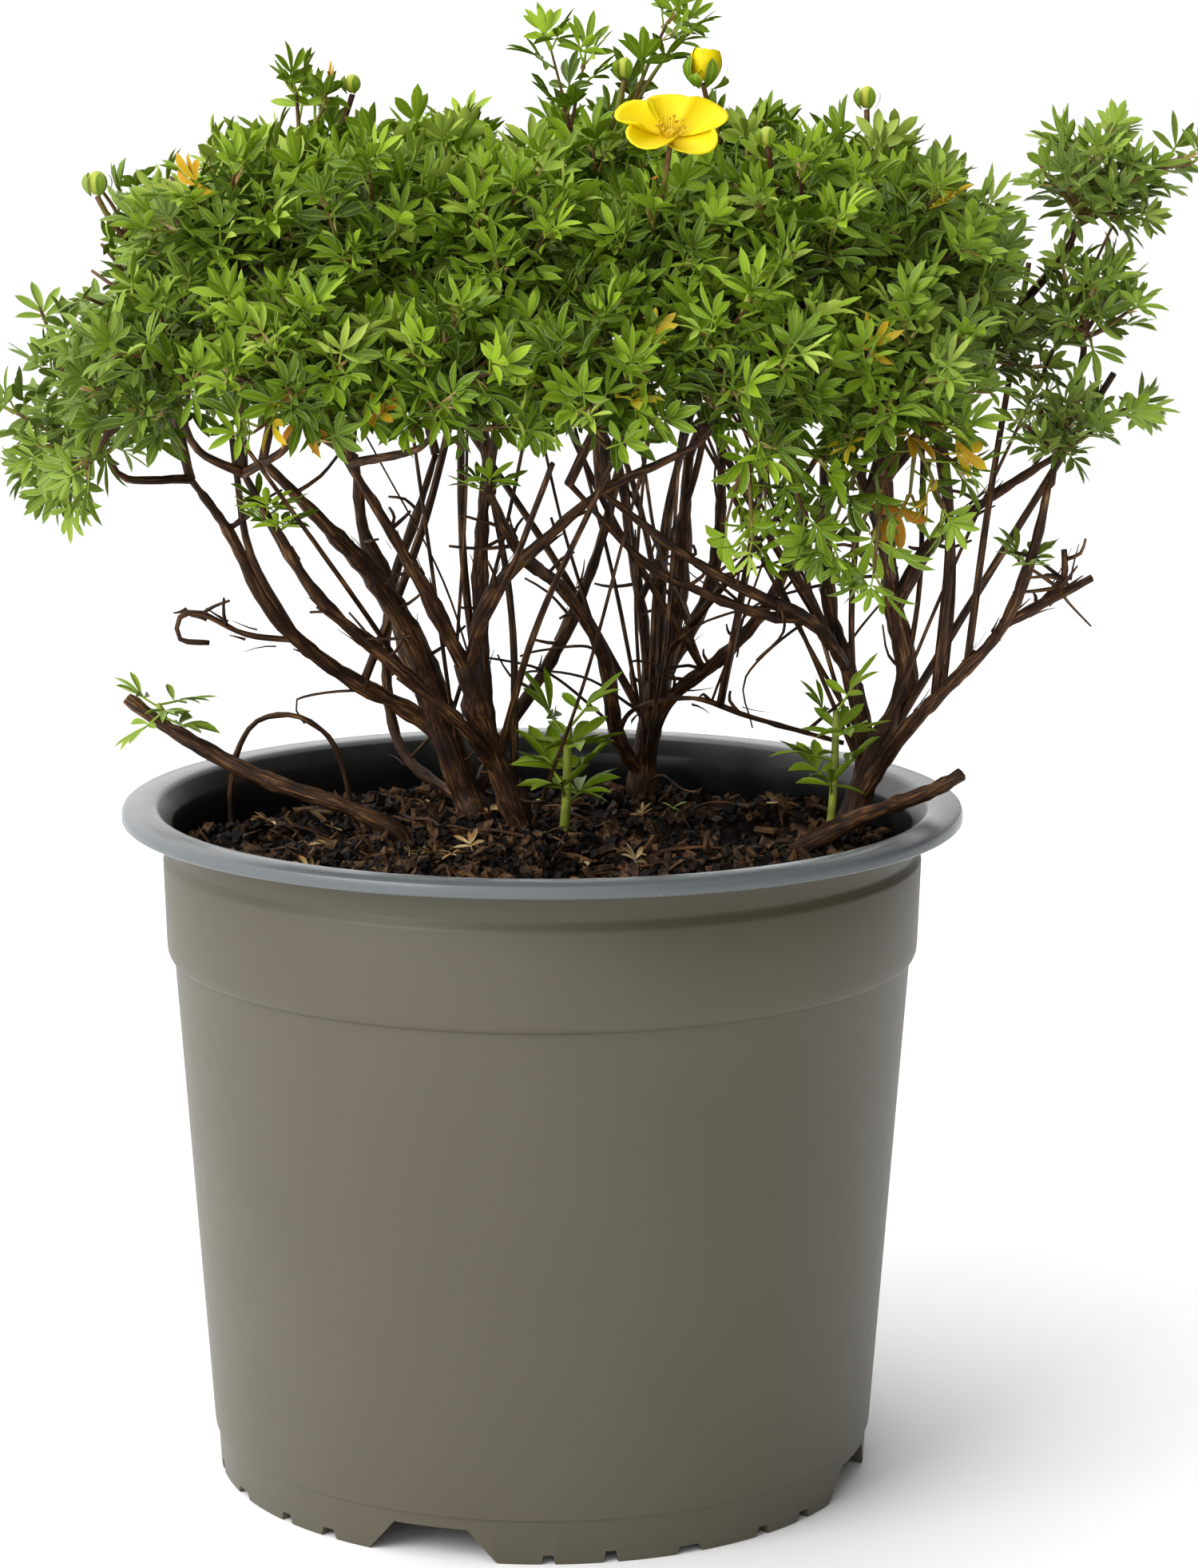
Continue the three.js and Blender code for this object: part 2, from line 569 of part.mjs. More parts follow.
// The leaves of one shoot: the largest and outermost that fit, and that cross no other leaf
function leavesOn(shoot, own, keepOff, random) {
  const found = evenDirections(LEAF_DIRECTIONS)
    .map((out) => fitLeaf(out, shoot, own, keepOff, random))
    .filter((leaf) => leaf)
    .sort((a, b) => b.rank - a.rank);
  const chosen = [];
  for (const apart of [1.3, 1, 0.75, 0.5, 0.3])
    for (const leaf of found) {
      if (chosen.length === shoot.leaves) break;
      const clear = chosen.every(
        (other) => other.out.angleTo(leaf.out) > apart && other.solid.intersect(leaf.solid).isEmpty(),
      );
      if (clear) chosen.push(leaf);
    }
  return chosen.map((leaf) => leaf.solid);
}

// A leafy spray with its core, its leaves and the side shoots that grow from it
function makeSpray(own, keepOff, random) {
  const shoots = [{ ...own, width: CORE_WIDTH }];
  const pieces = [];
  for (const [parent, at, reach, leaves] of SIDE_SHOOTS) {
    if (parent !== own.name) continue;
    const centre = vec(at);
    const line = shootLine(own.centre, centre, reach);
    shoots.push({ line, centre, reach, leaves, width: SHOOT_CORE_WIDTH });
    pieces.push(tube([own.centre, line.foot, centre], [1.6, 1.3, 1.1], 4));
  }
  for (const shoot of shoots) {
    const core = corePoints(shoot.line, shoot.reach * shoot.width, random);
    const middle = shoot.line.foot.clone().lerp(shoot.line.tip, 0.4);
    for (let step = 0; step < CORE_STEPS && !staysInside(core, own); step++)
      for (const p of core.slice(CORE_SIDES)) p.lerp(middle, 0.06);
    pieces.push(coreSolid(core));
  }
  const taken = [...keepOff];
  for (const shoot of shoots.reverse()) {
    const leaves = leavesOn(shoot, own, taken, random);
    pieces.push(...leaves);
    taken.push(...leaves);
  }
  return join(pieces);
}

// A green sprout: a thin shoot with leaves that spread from it in turn
function makeSprout([, foot, tip, radius, leafLength, leaves], keepOff, random) {
  const from = vec(foot);
  const to = vec(tip);
  const pieces = [tube([from, to], [radius, radius * 0.8], THIN_STEM.sides)];
  const taken = [...keepOff];
  for (let i = 0; i < leaves; i++) {
    const at = from.clone().lerp(to, 0.97 - (0.5 * i) / leaves);
    for (let attempt = 0; attempt < 14; attempt++) {
      const turn = i * 2.4 + attempt * 0.45;
      const out = new THREE.Vector3(Math.cos(turn), Math.sin(turn), 0.9 + 0.5 * random()).normalize();
      const axis = new THREE.Vector3(Math.cos(turn), Math.sin(turn), 0.1).normalize();
      const base = at.clone().addScaledVector(out, 0.3 * leafLength);
      const solid = leafSolid(leafPoints(0.3 * leafLength, 0.7 * leafLength, base, out, axis, 0.3));
      if (taken.some((other) => !solid.intersect(other).isEmpty())) continue;
      pieces.push(solid);
      taken.push(solid);
      break;
    }
  }
  return join(pieces);
}

// Five rounded petals, cupped round a raised boss of stamens
function makeFlower(extra) {
  const pieces = [];
  const count = FLOWER.petals;
  const boss = new THREE.SphereGeometry(3.2 + extra, 6, 4);
  boss.translate(0, 0, 0.6);
  pieces.push(solidOf(boss));
  for (let k = 0; k < count; k++) {
    const turn = (2 * Math.PI * k) / count + 0.3;
    const outline = [];
    for (let i = 0; i <= 6; i++) {
      const angle = -2.4 + (4.8 * i) / 6;
      outline.push([
        FLOWER.radius * (0.62 + 0.42 * Math.cos(angle)) + extra,
        (FLOWER.radius * 0.46 + extra) * Math.sin(angle),
      ]);
    }
    outline.push([0.5, 0]);
    const points = [];
    for (const half of [-0.5, 0.5])
      for (const [x, y] of outline) {
        const cup = 0.34 * x + 0.02 * y * y;
        const z = cup + half * (0.9 + 2 * extra) + (k % 2) * 0.2;
        points.push(
          new THREE.Vector3(
            x * Math.cos(turn) - y * Math.sin(turn),
            x * Math.sin(turn) + y * Math.cos(turn),
            z,
          ),
        );
      }
    pieces.push(leafSolid({ outline, points }));
  }
  const facing = vec(FLOWER.facing).normalize();
  const turnTo = new THREE.Quaternion().setFromUnitVectors(new THREE.Vector3(0, 0, 1), facing);
  const place = new THREE.Matrix4().compose(vec(FLOWER.at), turnTo, new THREE.Vector3(1, 1, 1));
  return join(pieces).transform(place.elements);
}

// The half-open bud: a plump spindle of folded petals
function makeOpenBud(extra) {
  const { at, radius, height } = OPEN_BUD;
  const profile = [
    [0, 0],
    [radius * 0.55, 0.6],
    [radius, height * 0.4],
    [radius * 0.86, height * 0.75],
    [radius * 0.3, height],
    [0, height],
  ].map(([r, z]) => new THREE.Vector2(r > 0 ? r + extra : 0, z));
  const bud = new THREE.LatheGeometry(profile, 8);
  bud.rotateX(Math.PI / 2);
  bud.translate(at[0], at[1], at[2]);
  return solidOf(bud);
}

// Everything is assembled from the stems out, so that each piece keeps clear of those before it.
const group = new THREE.Group();
const random = makeRandom(1976);

function addNode(name, solid, material) {
  const mesh = new THREE.Mesh(geometryOf(solid), material.clone());
  mesh.name = name;
  group.add(mesh);
}

const sites = SPRAYS.map(([name, stem, at, reach, leaves]) => {
  const centre = vec(at);
  const from = vec(STEMS[stem].points.at(-1));
  return { name, stem, centre, reach, leaves, from, line: shootLine(from, centre, reach) };
});
for (const site of sites) {
  site.planes = cellPlanes(site, sites);
  site.outward = site.centre.clone().sub(vec(CANOPY_CENTRE)).normalize();
}

function woodOf(crown, extra) {
  const pieces = [];
  for (const stem of Object.values(STEMS)) if (stem.crown === crown) pieces.push(stemSolid(stem, extra));
  for (const site of sites)
    if (STEMS[site.stem].crown === crown) pieces.push(twigSolid(site.from, site.line, extra));
  return join(pieces);
}

const wood = Object.keys(CROWNS).map((crown) => woodOf(crown, 0));
const woodClearance = Object.keys(CROWNS).map((crown) => woodOf(crown, GAP));
const sproutStems = SPROUTS.map(([, foot, tip, radius]) =>
  tube([vec(foot), vec(tip)], [radius + GAP, radius * 0.8 + GAP], STEM_SIDES),
);
const flowerClearance = [makeFlower(2 * GAP), makeOpenBud(GAP)];
const soil = makeSoil([...woodClearance, ...sproutStems]);

addNode("pot", makePot(), MATERIALS.pot);
addNode("soil", soil, MATERIALS.soil);
Object.values(CROWNS).forEach((node, i) => addNode(node, wood[i], MATERIALS.bark));
const sprayKeepOff = [...woodClearance, ...flowerClearance];
for (const site of sites)
  addNode("spray_" + site.name, makeSpray(site, sprayKeepOff, random), MATERIALS.leaf);
for (const sprout of SPROUTS)
  addNode(sprout[0], makeSprout(sprout, [...woodClearance, soil], random), MATERIALS.leaf);
addNode("flower_petals", makeFlower(0), MATERIALS.petal);
addNode("half_open_bud", makeOpenBud(0), MATERIALS.petal);

export default group;
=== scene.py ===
import math

import bmesh
import bpy
from mathutils import Matrix, Quaternion, Vector, noise


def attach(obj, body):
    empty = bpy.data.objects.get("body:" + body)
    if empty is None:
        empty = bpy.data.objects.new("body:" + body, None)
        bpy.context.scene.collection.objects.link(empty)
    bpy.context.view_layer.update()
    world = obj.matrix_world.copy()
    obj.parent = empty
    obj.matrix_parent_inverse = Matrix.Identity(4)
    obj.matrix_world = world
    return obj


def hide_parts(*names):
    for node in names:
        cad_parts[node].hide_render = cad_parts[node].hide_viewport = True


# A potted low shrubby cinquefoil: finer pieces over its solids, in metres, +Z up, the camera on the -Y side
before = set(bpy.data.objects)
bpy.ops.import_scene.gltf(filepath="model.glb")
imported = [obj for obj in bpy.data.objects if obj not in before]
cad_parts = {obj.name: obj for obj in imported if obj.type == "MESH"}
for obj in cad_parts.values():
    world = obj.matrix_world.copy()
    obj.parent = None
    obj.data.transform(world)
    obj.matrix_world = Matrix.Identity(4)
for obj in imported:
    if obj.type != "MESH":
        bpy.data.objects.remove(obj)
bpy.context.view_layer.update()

MM = 0.001

# Camera: it stands a little above the rim and looks down by about ten degrees, as in the photo.
# The whole plant and pot fill the frame, so the picture's middle is left of the pot's axis.
CAMERA_BACK = 1125 * MM
CAMERA_HEIGHT = (183 + 214.5) * MM
CAMERA_DOWN = 0.185
LENS_MM = 97.9
FRAME_SHIFT = 0.0362

camera_data = bpy.data.cameras.new("studio_camera")
camera_data.sensor_fit = "AUTO"
camera_data.sensor_width = 36
camera_data.lens = LENS_MM
camera_data.shift_x = FRAME_SHIFT
camera = bpy.data.objects.new("studio_camera", camera_data)
camera.location = (0, -CAMERA_BACK, CAMERA_HEIGHT)
camera.rotation_euler = (math.pi / 2 - CAMERA_DOWN, 0, 0)
bpy.context.collection.objects.link(camera)
bpy.context.scene.camera = camera


# Studio: a plain white floor under soft light from a white surround that is dark on the right, and two large
# panels. The floor is matt painted board, one flat sheet. Colours are shown as they are, with no film curve.
FLOOR_WIDTH = 30.0
SURROUND_SIDES = (0.05, 0.5, 1.46, 0.08)
KEY_PANEL = ((-1.3, -1.2, 1.3), (0, 0, 0.22), 1.3, 26)
TOP_PANEL = ((-0.3, 0.2, 1.9), (0, 0, 0.25), 1.0, 7)
bpy.context.scene.view_settings.view_transform = "Standard"


def linear(hex_colour, alpha=1.0):
    """One sRGB hex colour as linear values."""
    parts = [int(hex_colour[i:i + 2], 16) / 255 for i in (1, 3, 5)]
    parts = [c / 12.92 if c <= 0.04045 else ((c + 0.055) / 1.055) ** 2.4 for c in parts]
    return (*parts, alpha)


def node(tree, kind, inputs=(), **settings):
    """A node of one kind with its settings, and each input either set or linked."""
    made = tree.nodes.new(kind)
    for name, value in settings.items():
        setattr(made, name, value)
    for name, value in dict(inputs).items():
        if isinstance(value, bpy.types.NodeSocket):
            tree.links.new(value, made.inputs[name])
        else:
            made.inputs[name].default_value = value
    return made


def new_finish(name, **values):
    """A material with its Principled shader, whose plain sockets are set here."""
    finish = bpy.data.materials.new(name)
    finish.use_nodes = True
    shader = finish.node_tree.nodes["Principled BSDF"]
    for socket, value in values.items():
        shader.inputs[socket.replace("_", " ")].default_value = value
    return finish, finish.node_tree, shader


def blend_colours(tree, share, first, second):
    """One colour that goes from the first to the second by a share."""
    made = node(tree, "ShaderNodeMix", data_type="RGBA")
    factor, start, end = (next(s for s in made.inputs if s.identifier == name)
                          for name in ("Factor_Float", "A_Color", "B_Color"))
    for socket, value in ((factor, share), (start, first), (end, second)):
        if isinstance(value, bpy.types.NodeSocket):
            tree.links.new(value, socket)
        else:
            socket.default_value = value
    return next(s for s in made.outputs if s.identifier == "Result_Color")


def ramp(tree, factor, stops):
    """A colour ramp through hex colours at their places."""
    made = node(tree, "ShaderNodeValToRGB", {"Fac": factor})
    line = made.color_ramp
    while len(line.elements) < len(stops):
        line.elements.new(0.5)
    for element, (place, colour) in zip(line.elements, stops):
        element.position = place
        element.color = linear(colour)
    return made.outputs["Color"]


def between(tree, value, start, end, low=0.0, high=1.0):
    """A value from start to end as one from low to high, held at both."""
    return node(tree, "ShaderNodeMapRange", {"Value": value, "From Min": start, "From Max": end,
                                             "To Min": low, "To Max": high}).outputs["Result"]


def place_mesh(bm, name, finish):
    """The bmesh as a smooth object at the origin with one finish."""
    mesh = bpy.data.meshes.new(name)
    bm.to_mesh(mesh)
    bm.free()
    mesh.materials.append(finish)
    mesh.shade_smooth()
    piece = bpy.data.objects.new(name, mesh)
    bpy.context.collection.objects.link(piece)
    return piece


board, _, shader = new_finish("matt_painted_board", Roughness=0.9)
shader.inputs["Base Color"].default_value = linear("#ffffff")
bm = bmesh.new()
bmesh.ops.create_grid(bm, x_segments=1, y_segments=1, size=FLOOR_WIDTH / 2)
floor = place_mesh(bm, "studio_floor", board)

surround = bpy.data.worlds.new("white_surround")
surround.use_nodes = True
tree = surround.node_tree
heading = node(tree, "ShaderNodeTexCoord").outputs["Generated"]
sides = node(tree, "ShaderNodeSeparateXYZ", {"Vector": heading})
glow = between(tree, sides.outputs["X"], *SURROUND_SIDES)
tree.nodes["Background"].inputs["Color"].default_value = linear("#ffffff")
tree.links.new(glow, tree.nodes["Background"].inputs["Strength"])
bpy.context.scene.world = surround


def light_panel(name, place, aim, size, watts):
    """A large square soft light that faces a point."""
    data = bpy.data.lights.new(name, "AREA")
    data.size = size
    data.energy = watts
    panel = bpy.data.objects.new(name, data)
    panel.location = place
    panel.rotation_euler = (Vector(aim) - Vector(place)).to_track_quat("-Z", "Y").to_euler()
    bpy.context.collection.objects.link(panel)


light_panel("key_panel", *KEY_PANEL)
light_panel("top_panel", *TOP_PANEL)


# Pot: one thermoformed polypropylene nursery pot, taupe outside with a paler rim and a near-black inside.
# A flat sheet is drawn into the mould, its rim is rolled flat, and the foot's drain notches are punched.
# It replaces the faceted solid with a round one of the same profile.
POT_HEIGHT = 183
RIM_RADIUS = 112.5
RIM_WIDTH = 9.9
LIP_DROP = 3.7
WALL = 1.4
NECK_RADIUS = 100.2
NECK_BOTTOM = 170
BAND_RADIUS = 101.8
BAND_BOTTOM = 146.5
BODY_TOP_RADIUS = 99.1
BODY_TOP = 142
RING_RADIUS = 89.9
RING_HEIGHT = 12.6
FOOT_RADIUS = 88.4
FLOOR_UNDERSIDE = 10.4
FOOT_PAD_RADIUS = 20
POT_STEPS = 160
SHARP_FROM = 38
RIM_INNER = RIM_RADIUS - RIM_WIDTH
LIP_UNDERSIDE = POT_HEIGHT - LIP_DROP
POT_PROFILE = [
    (0, 0), (FOOT_PAD_RADIUS, 0), (FOOT_PAD_RADIUS + 2, FLOOR_UNDERSIDE),
    (FOOT_RADIUS - 2.6, FLOOR_UNDERSIDE), (FOOT_RADIUS - 2.4, 0), (FOOT_RADIUS - 0.3, 0),
    (FOOT_RADIUS, 0.4), (RING_RADIUS - 0.9, RING_HEIGHT - 1.5), (RING_RADIUS - 0.7, RING_HEIGHT - 0.8),
    (RING_RADIUS - 0.1, RING_HEIGHT - 0.3), (RING_RADIUS, RING_HEIGHT + 0.4),
    (BODY_TOP_RADIUS - 0.1, BODY_TOP - 0.3), (BODY_TOP_RADIUS, BODY_TOP + 0.3),
    (BODY_TOP_RADIUS + 1.2, BODY_TOP + 1), (BODY_TOP_RADIUS + 1.7, BODY_TOP + 2.2),
    (BAND_RADIUS - 0.8, BAND_BOTTOM + 0.4), (BAND_RADIUS - 0.1, NECK_BOTTOM - 1.8),
    (BAND_RADIUS - 0.4, NECK_BOTTOM - 0.9),
    (NECK_RADIUS + 0.2, NECK_BOTTOM + 0.4), (NECK_RADIUS, NECK_BOTTOM + 1.4),
    (NECK_RADIUS + 0.6, LIP_UNDERSIDE), (RIM_INNER, POT_HEIGHT - 1.8),
    (RIM_RADIUS - 1.8, POT_HEIGHT - 1.8), (RIM_RADIUS - 1.5, LIP_UNDERSIDE),
    (RIM_RADIUS - 0.3, LIP_UNDERSIDE), (RIM_RADIUS, LIP_UNDERSIDE + 0.3),
    (RIM_RADIUS, POT_HEIGHT - 1.7), (RIM_RADIUS - 0.4, POT_HEIGHT - 0.6), (RIM_RADIUS - 1.4, POT_HEIGHT),
    (RIM_INNER + 2.2, POT_HEIGHT), (RIM_INNER + 0.9, POT_HEIGHT - 0.3), (RIM_INNER, POT_HEIGHT - 1.2),
    (NECK_RADIUS - WALL + 0.6, LIP_UNDERSIDE - 0.8), (NECK_RADIUS - WALL + 0.1, LIP_UNDERSIDE - 2),
    (NECK_RADIUS - WALL, NECK_BOTTOM + 1.2), (BAND_RADIUS - WALL, NECK_BOTTOM - 1.8),
    (BODY_TOP_RADIUS - WALL, BODY_TOP + 0.2), (RING_RADIUS - WALL, FLOOR_UNDERSIDE + WALL),
    (0, FLOOR_UNDERSIDE + WALL),
]
WIDE_NOTCH_ANGLE = -19
WIDE_NOTCH = (37, 20, 8.8)
SMALL_NOTCHES = [(20, 4.2, 2.6), (30.5, 4.6, 3.2), (44.5, 9, 2.2), (59.5, 5, 2.6), (70, 6, 2.6)]
DRAIN_HOLE = (77, 13, 9)
IN_METRES = Matrix.Scale(MM, 4)


def turned(angle, axis="Z"):
    """A turn about one axis."""
    return Matrix.Rotation(angle, 4, axis)


def move(bm, verts, *steps):
    """Moves points by several matrices, the last of them first."""
    whole = Matrix()
    for step in steps:
        whole = whole @ step
    bmesh.ops.transform(bm, matrix=whole, verts=verts)


def add_notch(bm, angle, foot, top, depth):
    """A wedge that runs out through the foot skirt, with sides that lean in towards its top."""
    corners = bmesh.ops.create_cube(bm, size=1)["verts"]
    for corner in corners:
        wide = top if corner.co.z > 0 else foot
        corner.co.x *= wide
        corner.co.y = -FOOT_RADIUS - 8 if corner.co.y < 0 else -FOOT_RADIUS + 8
        corner.co.z = depth if corner.co.z > 0 else -1
    move(bm, corners, IN_METRES, turned(math.radians(angle)))


def add_drain_hole(bm, angle):
    """A block through the floor behind a wide notch."""
    radius, length, width = DRAIN_HOLE
    corners = bmesh.ops.create_cube(bm, size=1)["verts"]
    place = turned(math.radians(angle)) @ Matrix.Translation((0, -radius, FLOOR_UNDERSIDE))
    move(bm, corners, IN_METRES, place, Matrix.Diagonal((length, width, 12, 1)))


def spun(bm, profile, steps):
    """A closed shell turned from a profile that starts and ends on the axis."""
    line = [bm.verts.new((r * MM, 0, z * MM)) for r, z in profile]
    edges = [bm.edges.new(pair) for pair in zip(line, line[1:])]
    bmesh.ops.spin(bm, geom=line + edges, cent=(0, 0, 0), axis=(0, 0, 1), angle=2 * math.pi,
                   steps=steps, use_merge=True, use_duplicate=False)
    bmesh.ops.remove_doubles(bm, verts=bm.verts, dist=1e-6)
    bmesh.ops.recalc_face_normals(bm, faces=bm.faces)


def skin(bm, name, finishes):
    """The bmesh as an object at the origin with its finishes, flat across its sharp edges."""
    piece = place_mesh(bm, name, finishes[0])
    for finish in finishes[1:]:
        piece.data.materials.append(finish)
    piece.data.set_sharp_from_angle(angle=math.radians(SHARP_FROM))
    return piece


def calc(tree, operation, *values):
    """What one maths node makes of its values."""
    return node(tree, "ShaderNodeMath", dict(enumerate(values)), operation=operation).outputs["Value"]


def mottled(tree, scale, detail, place=None):
    """Noise over a piece's own coordinates, or over a place that is given."""
    if place is None:
        place = node(tree, "ShaderNodeTexCoord").outputs["Object"]
    settings = {"Vector": place, "Scale": scale, "Detail": detail}
    return node(tree, "ShaderNodeTexNoise", settings).outputs["Fac"]


def paint(tree, shader, colour):
    """Links a colour to the shader."""
    tree.links.new(colour, shader.inputs["Base Color"])


def emboss(tree, shader, height, strength, distance):
    """Links fine relief to the shader."""
    relief = node(tree, "ShaderNodeBump", {"Height": height, "Strength": strength, "Distance": distance})
    tree.links.new(relief.outputs["Normal"], shader.inputs["Normal"])


# Polypropylene: satin, taupe on the body, grey and glossier on the rolled rim, with a few dark specks.
# Fine scuffs vary the gloss. Specks are about a millimetre wide and several centimetres apart.
polypropylene, tree, shader = new_finish("moulded_polypropylene", IOR=1.49)
place = node(tree, "ShaderNodeTexCoord").outputs["Object"]
axes = node(tree, "ShaderNodeSeparateXYZ", {"Vector": place})
flat = node(tree, "ShaderNodeCombineXYZ", {"X": axes.outputs["X"], "Y": axes.outputs["Y"]}).outputs["Vector"]
from_axis = node(tree, "ShaderNodeVectorMath", {0: flat}, operation="LENGTH").outputs["Value"]
cloudy = mottled(tree, 14.0, 2.0)
taupe = ramp(tree, cloudy, [(0.3, "#4b4636"), (0.7, "#4f4a3a")])
rim_grey = ramp(tree, cloudy, [(0.3, "#565b5e"), (0.7, "#5d6366")])
rim_part = between(tree, from_axis, (RIM_INNER - 0.4) * MM, (RIM_INNER + 0.8) * MM)
coat = blend_colours(tree, rim_part, taupe, rim_grey)
cells = node(tree, "ShaderNodeTexVoronoi", {"Vector": place, "Scale": 26.0})
speck = calc(tree, "LESS_THAN", cells.outputs["Distance"], 0.014)
paint(tree, shader, blend_colours(tree, speck, coat, linear("#2c2820")))
scratch = mottled(tree, 190.0, 4.0)
gloss = between(tree, rim_part, 0, 1, 0.42, 0.22)
tree.links.new(calc(tree, "MULTIPLY_ADD", scratch, 0.08, gloss), shader.inputs["Roughness"])
emboss(tree, shader, scratch, 0.05, 0.0003)

# The same plastic inside, near-black and shiny where it is clean, duller where compost has dusted it
black_inside, tree, shader = new_finish("black_inner_face_of_polypropylene", IOR=1.49)
dust = mottled(tree, 60.0, 5.0)
paint(tree, shader, ramp(tree, dust, [(0.4, "#191b1d"), (0.75, "#2e2d2b")]))
tree.links.new(between(tree, dust, 0, 1, 0.18, 0.5), shader.inputs["Roughness"])

bm = bmesh.new()
spun(bm, POT_PROFILE, POT_STEPS)
blank = skin(bm, "pot_blank", [polypropylene])
bm = bmesh.new()
for turn in range(4):
    start = WIDE_NOTCH_ANGLE + 90 * turn
    add_notch(bm, start, *WIDE_NOTCH)
    add_drain_hole(bm, start)
    for angle, width, depth in SMALL_NOTCHES:
        add_notch(bm, start + angle, width, 0.6 * width, depth)
punches = skin(bm, "foot_punches", [polypropylene])
cut = blank.modifiers.new("foot_cuts", "BOOLEAN")
cut.operation = "DIFFERENCE"
cut.solver = "EXACT"
cut.use_self = True
cut.object = punches
cut_mesh = bpy.data.meshes.new_from_object(blank.evaluated_get(bpy.context.evaluated_depsgraph_get()))
for used in (blank, punches):
    bpy.data.objects.remove(used)
bm = bmesh.new()
bm.from_mesh(cut_mesh)
for face in bm.faces:
    middle = face.calc_center_median()
    outward = Vector((middle.x, middle.y, 0)).normalized()
    below_rim = middle.z < (POT_HEIGHT - 0.9) * MM
    inside = middle.z > (FLOOR_UNDERSIDE + 1) * MM and face.normal.dot(outward) < -0.2
    face.material_index = 1 if below_rim and inside and middle.xy.length < RIM_INNER * MM else 0
pot = skin(bm, "nursery_pot", [polypropylene, black_inside])
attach(pot, "root")
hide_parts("pot")


# Soil: moist bark and peat compost, poured in and settled a finger's width under the rim.
# Its top is hummocky and crumbly, with bark chips on it.
SOIL_TOP = 168
SOIL_EDGE = 98.1
SOIL_STEPS = 120
SOIL_RINGS = 44
BLANK_TOP = 169
SOIL_BOTTOM = 12.2


def seeded(seed):
    """Seeded random numbers from 0 to 1."""
    state = seed

    def draw(low=0.0, high=1.0):
        nonlocal state
        state = state * 16807 % 2147483647
        return low + (high - low) * state / 2147483647

    return draw


def soil_height(x, y):
    """Height of the hummocky top at a place in the plan, all in millimetres."""
    hummocks = 2 * math.sin(x / 17 + 0.8) * math.cos(y / 14 - 0.4) + 1.4 * math.sin((x - y) / 9) + 1.5
    return SOIL_TOP + hummocks - 3 * (math.hypot(x, y) / BODY_TOP_RADIUS) ** 4


compost, tree, shader = new_finish("bark_and_peat_compost", Roughness=0.9, IOR=1.4, Specular_IOR_Level=0.2)
crumbs = mottled(tree, 260.0, 7.0)
earth = [(0.34, "#070402"), (0.5, "#140b05"), (0.62, "#2b1a0e"), (0.78, "#4d3723")]
paint(tree, shader, ramp(tree, crumbs, earth))
emboss(tree, shader, crumbs, 0.9, 0.0025)

bm = bmesh.new()
SOIL_PROFILE = [(SOIL_EDGE * k / SOIL_RINGS, BLANK_TOP) for k in range(SOIL_RINGS + 1)]
SOIL_PROFILE += [(BODY_TOP_RADIUS - 2.1, BODY_TOP), (RING_RADIUS - 2.1, SOIL_BOTTOM), (0, SOIL_BOTTOM)]
spun(bm, SOIL_PROFILE, SOIL_STEPS)
for vert in bm.verts:
    if vert.co.z > (BLANK_TOP - 1) * MM:
        x, y = vert.co.x / MM, vert.co.y / MM
        crumble = 2.6 * noise.noise(Vector((x, y, 0)) / 6) + 1.6 * noise.noise(Vector((x, y, 5)) / 2.4)
        vert.co.z = (soil_height(x, y) - 0.6 + crumble) * MM
soil = place_mesh(bm, "compost", compost)
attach(soil, "root")
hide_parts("soil")

# Bark chips and crumbs, pressed into the top as they fell, many small ones and a few long splinters.
# Each size is its shortest and longest in millimetres, up to its share of all.
CHIPS = 4200
CHIPS_TO = 95
CRUMBS, PIECES, SPLINTERS = (0.8, 1.0, 3.0), (0.98, 3, 6.5), (1, 6, 11)
draw = seeded(41)
bm = bmesh.new()
tone = bm.verts.layers.float.new("tone")
for _ in range(CHIPS):
    radius = CHIPS_TO * math.sqrt(draw())
    turn = draw(0, 2 * math.pi)
    x, y = radius * math.cos(turn), radius * math.sin(turn)
    kind = draw()
    long = draw(*next(sizes for share, *sizes in (CRUMBS, PIECES, SPLINTERS) if kind < share))
    shape = Matrix.Diagonal((long, long * draw(0.35, 0.9) if long < 6 else draw(0.8, 1.8), draw(0.5, 2.4), 1))
    corners = bmesh.ops.create_cube(bm, size=1)["verts"]
    for corner in corners:
        corner.co *= draw(0.7, 1.1)
        corner.co.x += draw(-0.2, 0.2)
        corner[tone] = kind
    lie = turned(draw(0, 6.28)) @ turned(draw(-1, 1), "Y") @ turned(draw(-0.9, 0.9), "X")
    spot = Matrix.Translation((x, y, soil_height(x, y) + draw(-0.4, 2.2)))
    move(bm, corners, IN_METRES, spot, lie, shape)
bark_chip, tree, shader = new_finish("weathered_bark_chips", Roughness=0.7, IOR=1.4, Specular_IOR_Level=0.3)
which = node(tree, "ShaderNodeAttribute", attribute_name="tone").outputs["Fac"]
fibre = mottled(tree, 420.0, 5.0)
half = calc(tree, "MULTIPLY", calc(tree, "ADD", which, fibre), 0.5)
woods = [(0.3, "#040201"), (0.52, "#0e0703"), (0.66, "#2a190d"), (0.8, "#6b4e30")]
paint(tree, shader, ramp(tree, half, woods))
emboss(tree, shader, fibre, 0.7, 0.0012)
chips = place_mesh(bm, "bark_chips", bark_chip)
chips.data.set_sharp_from_angle(angle=math.radians(30))
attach(chips, "root")


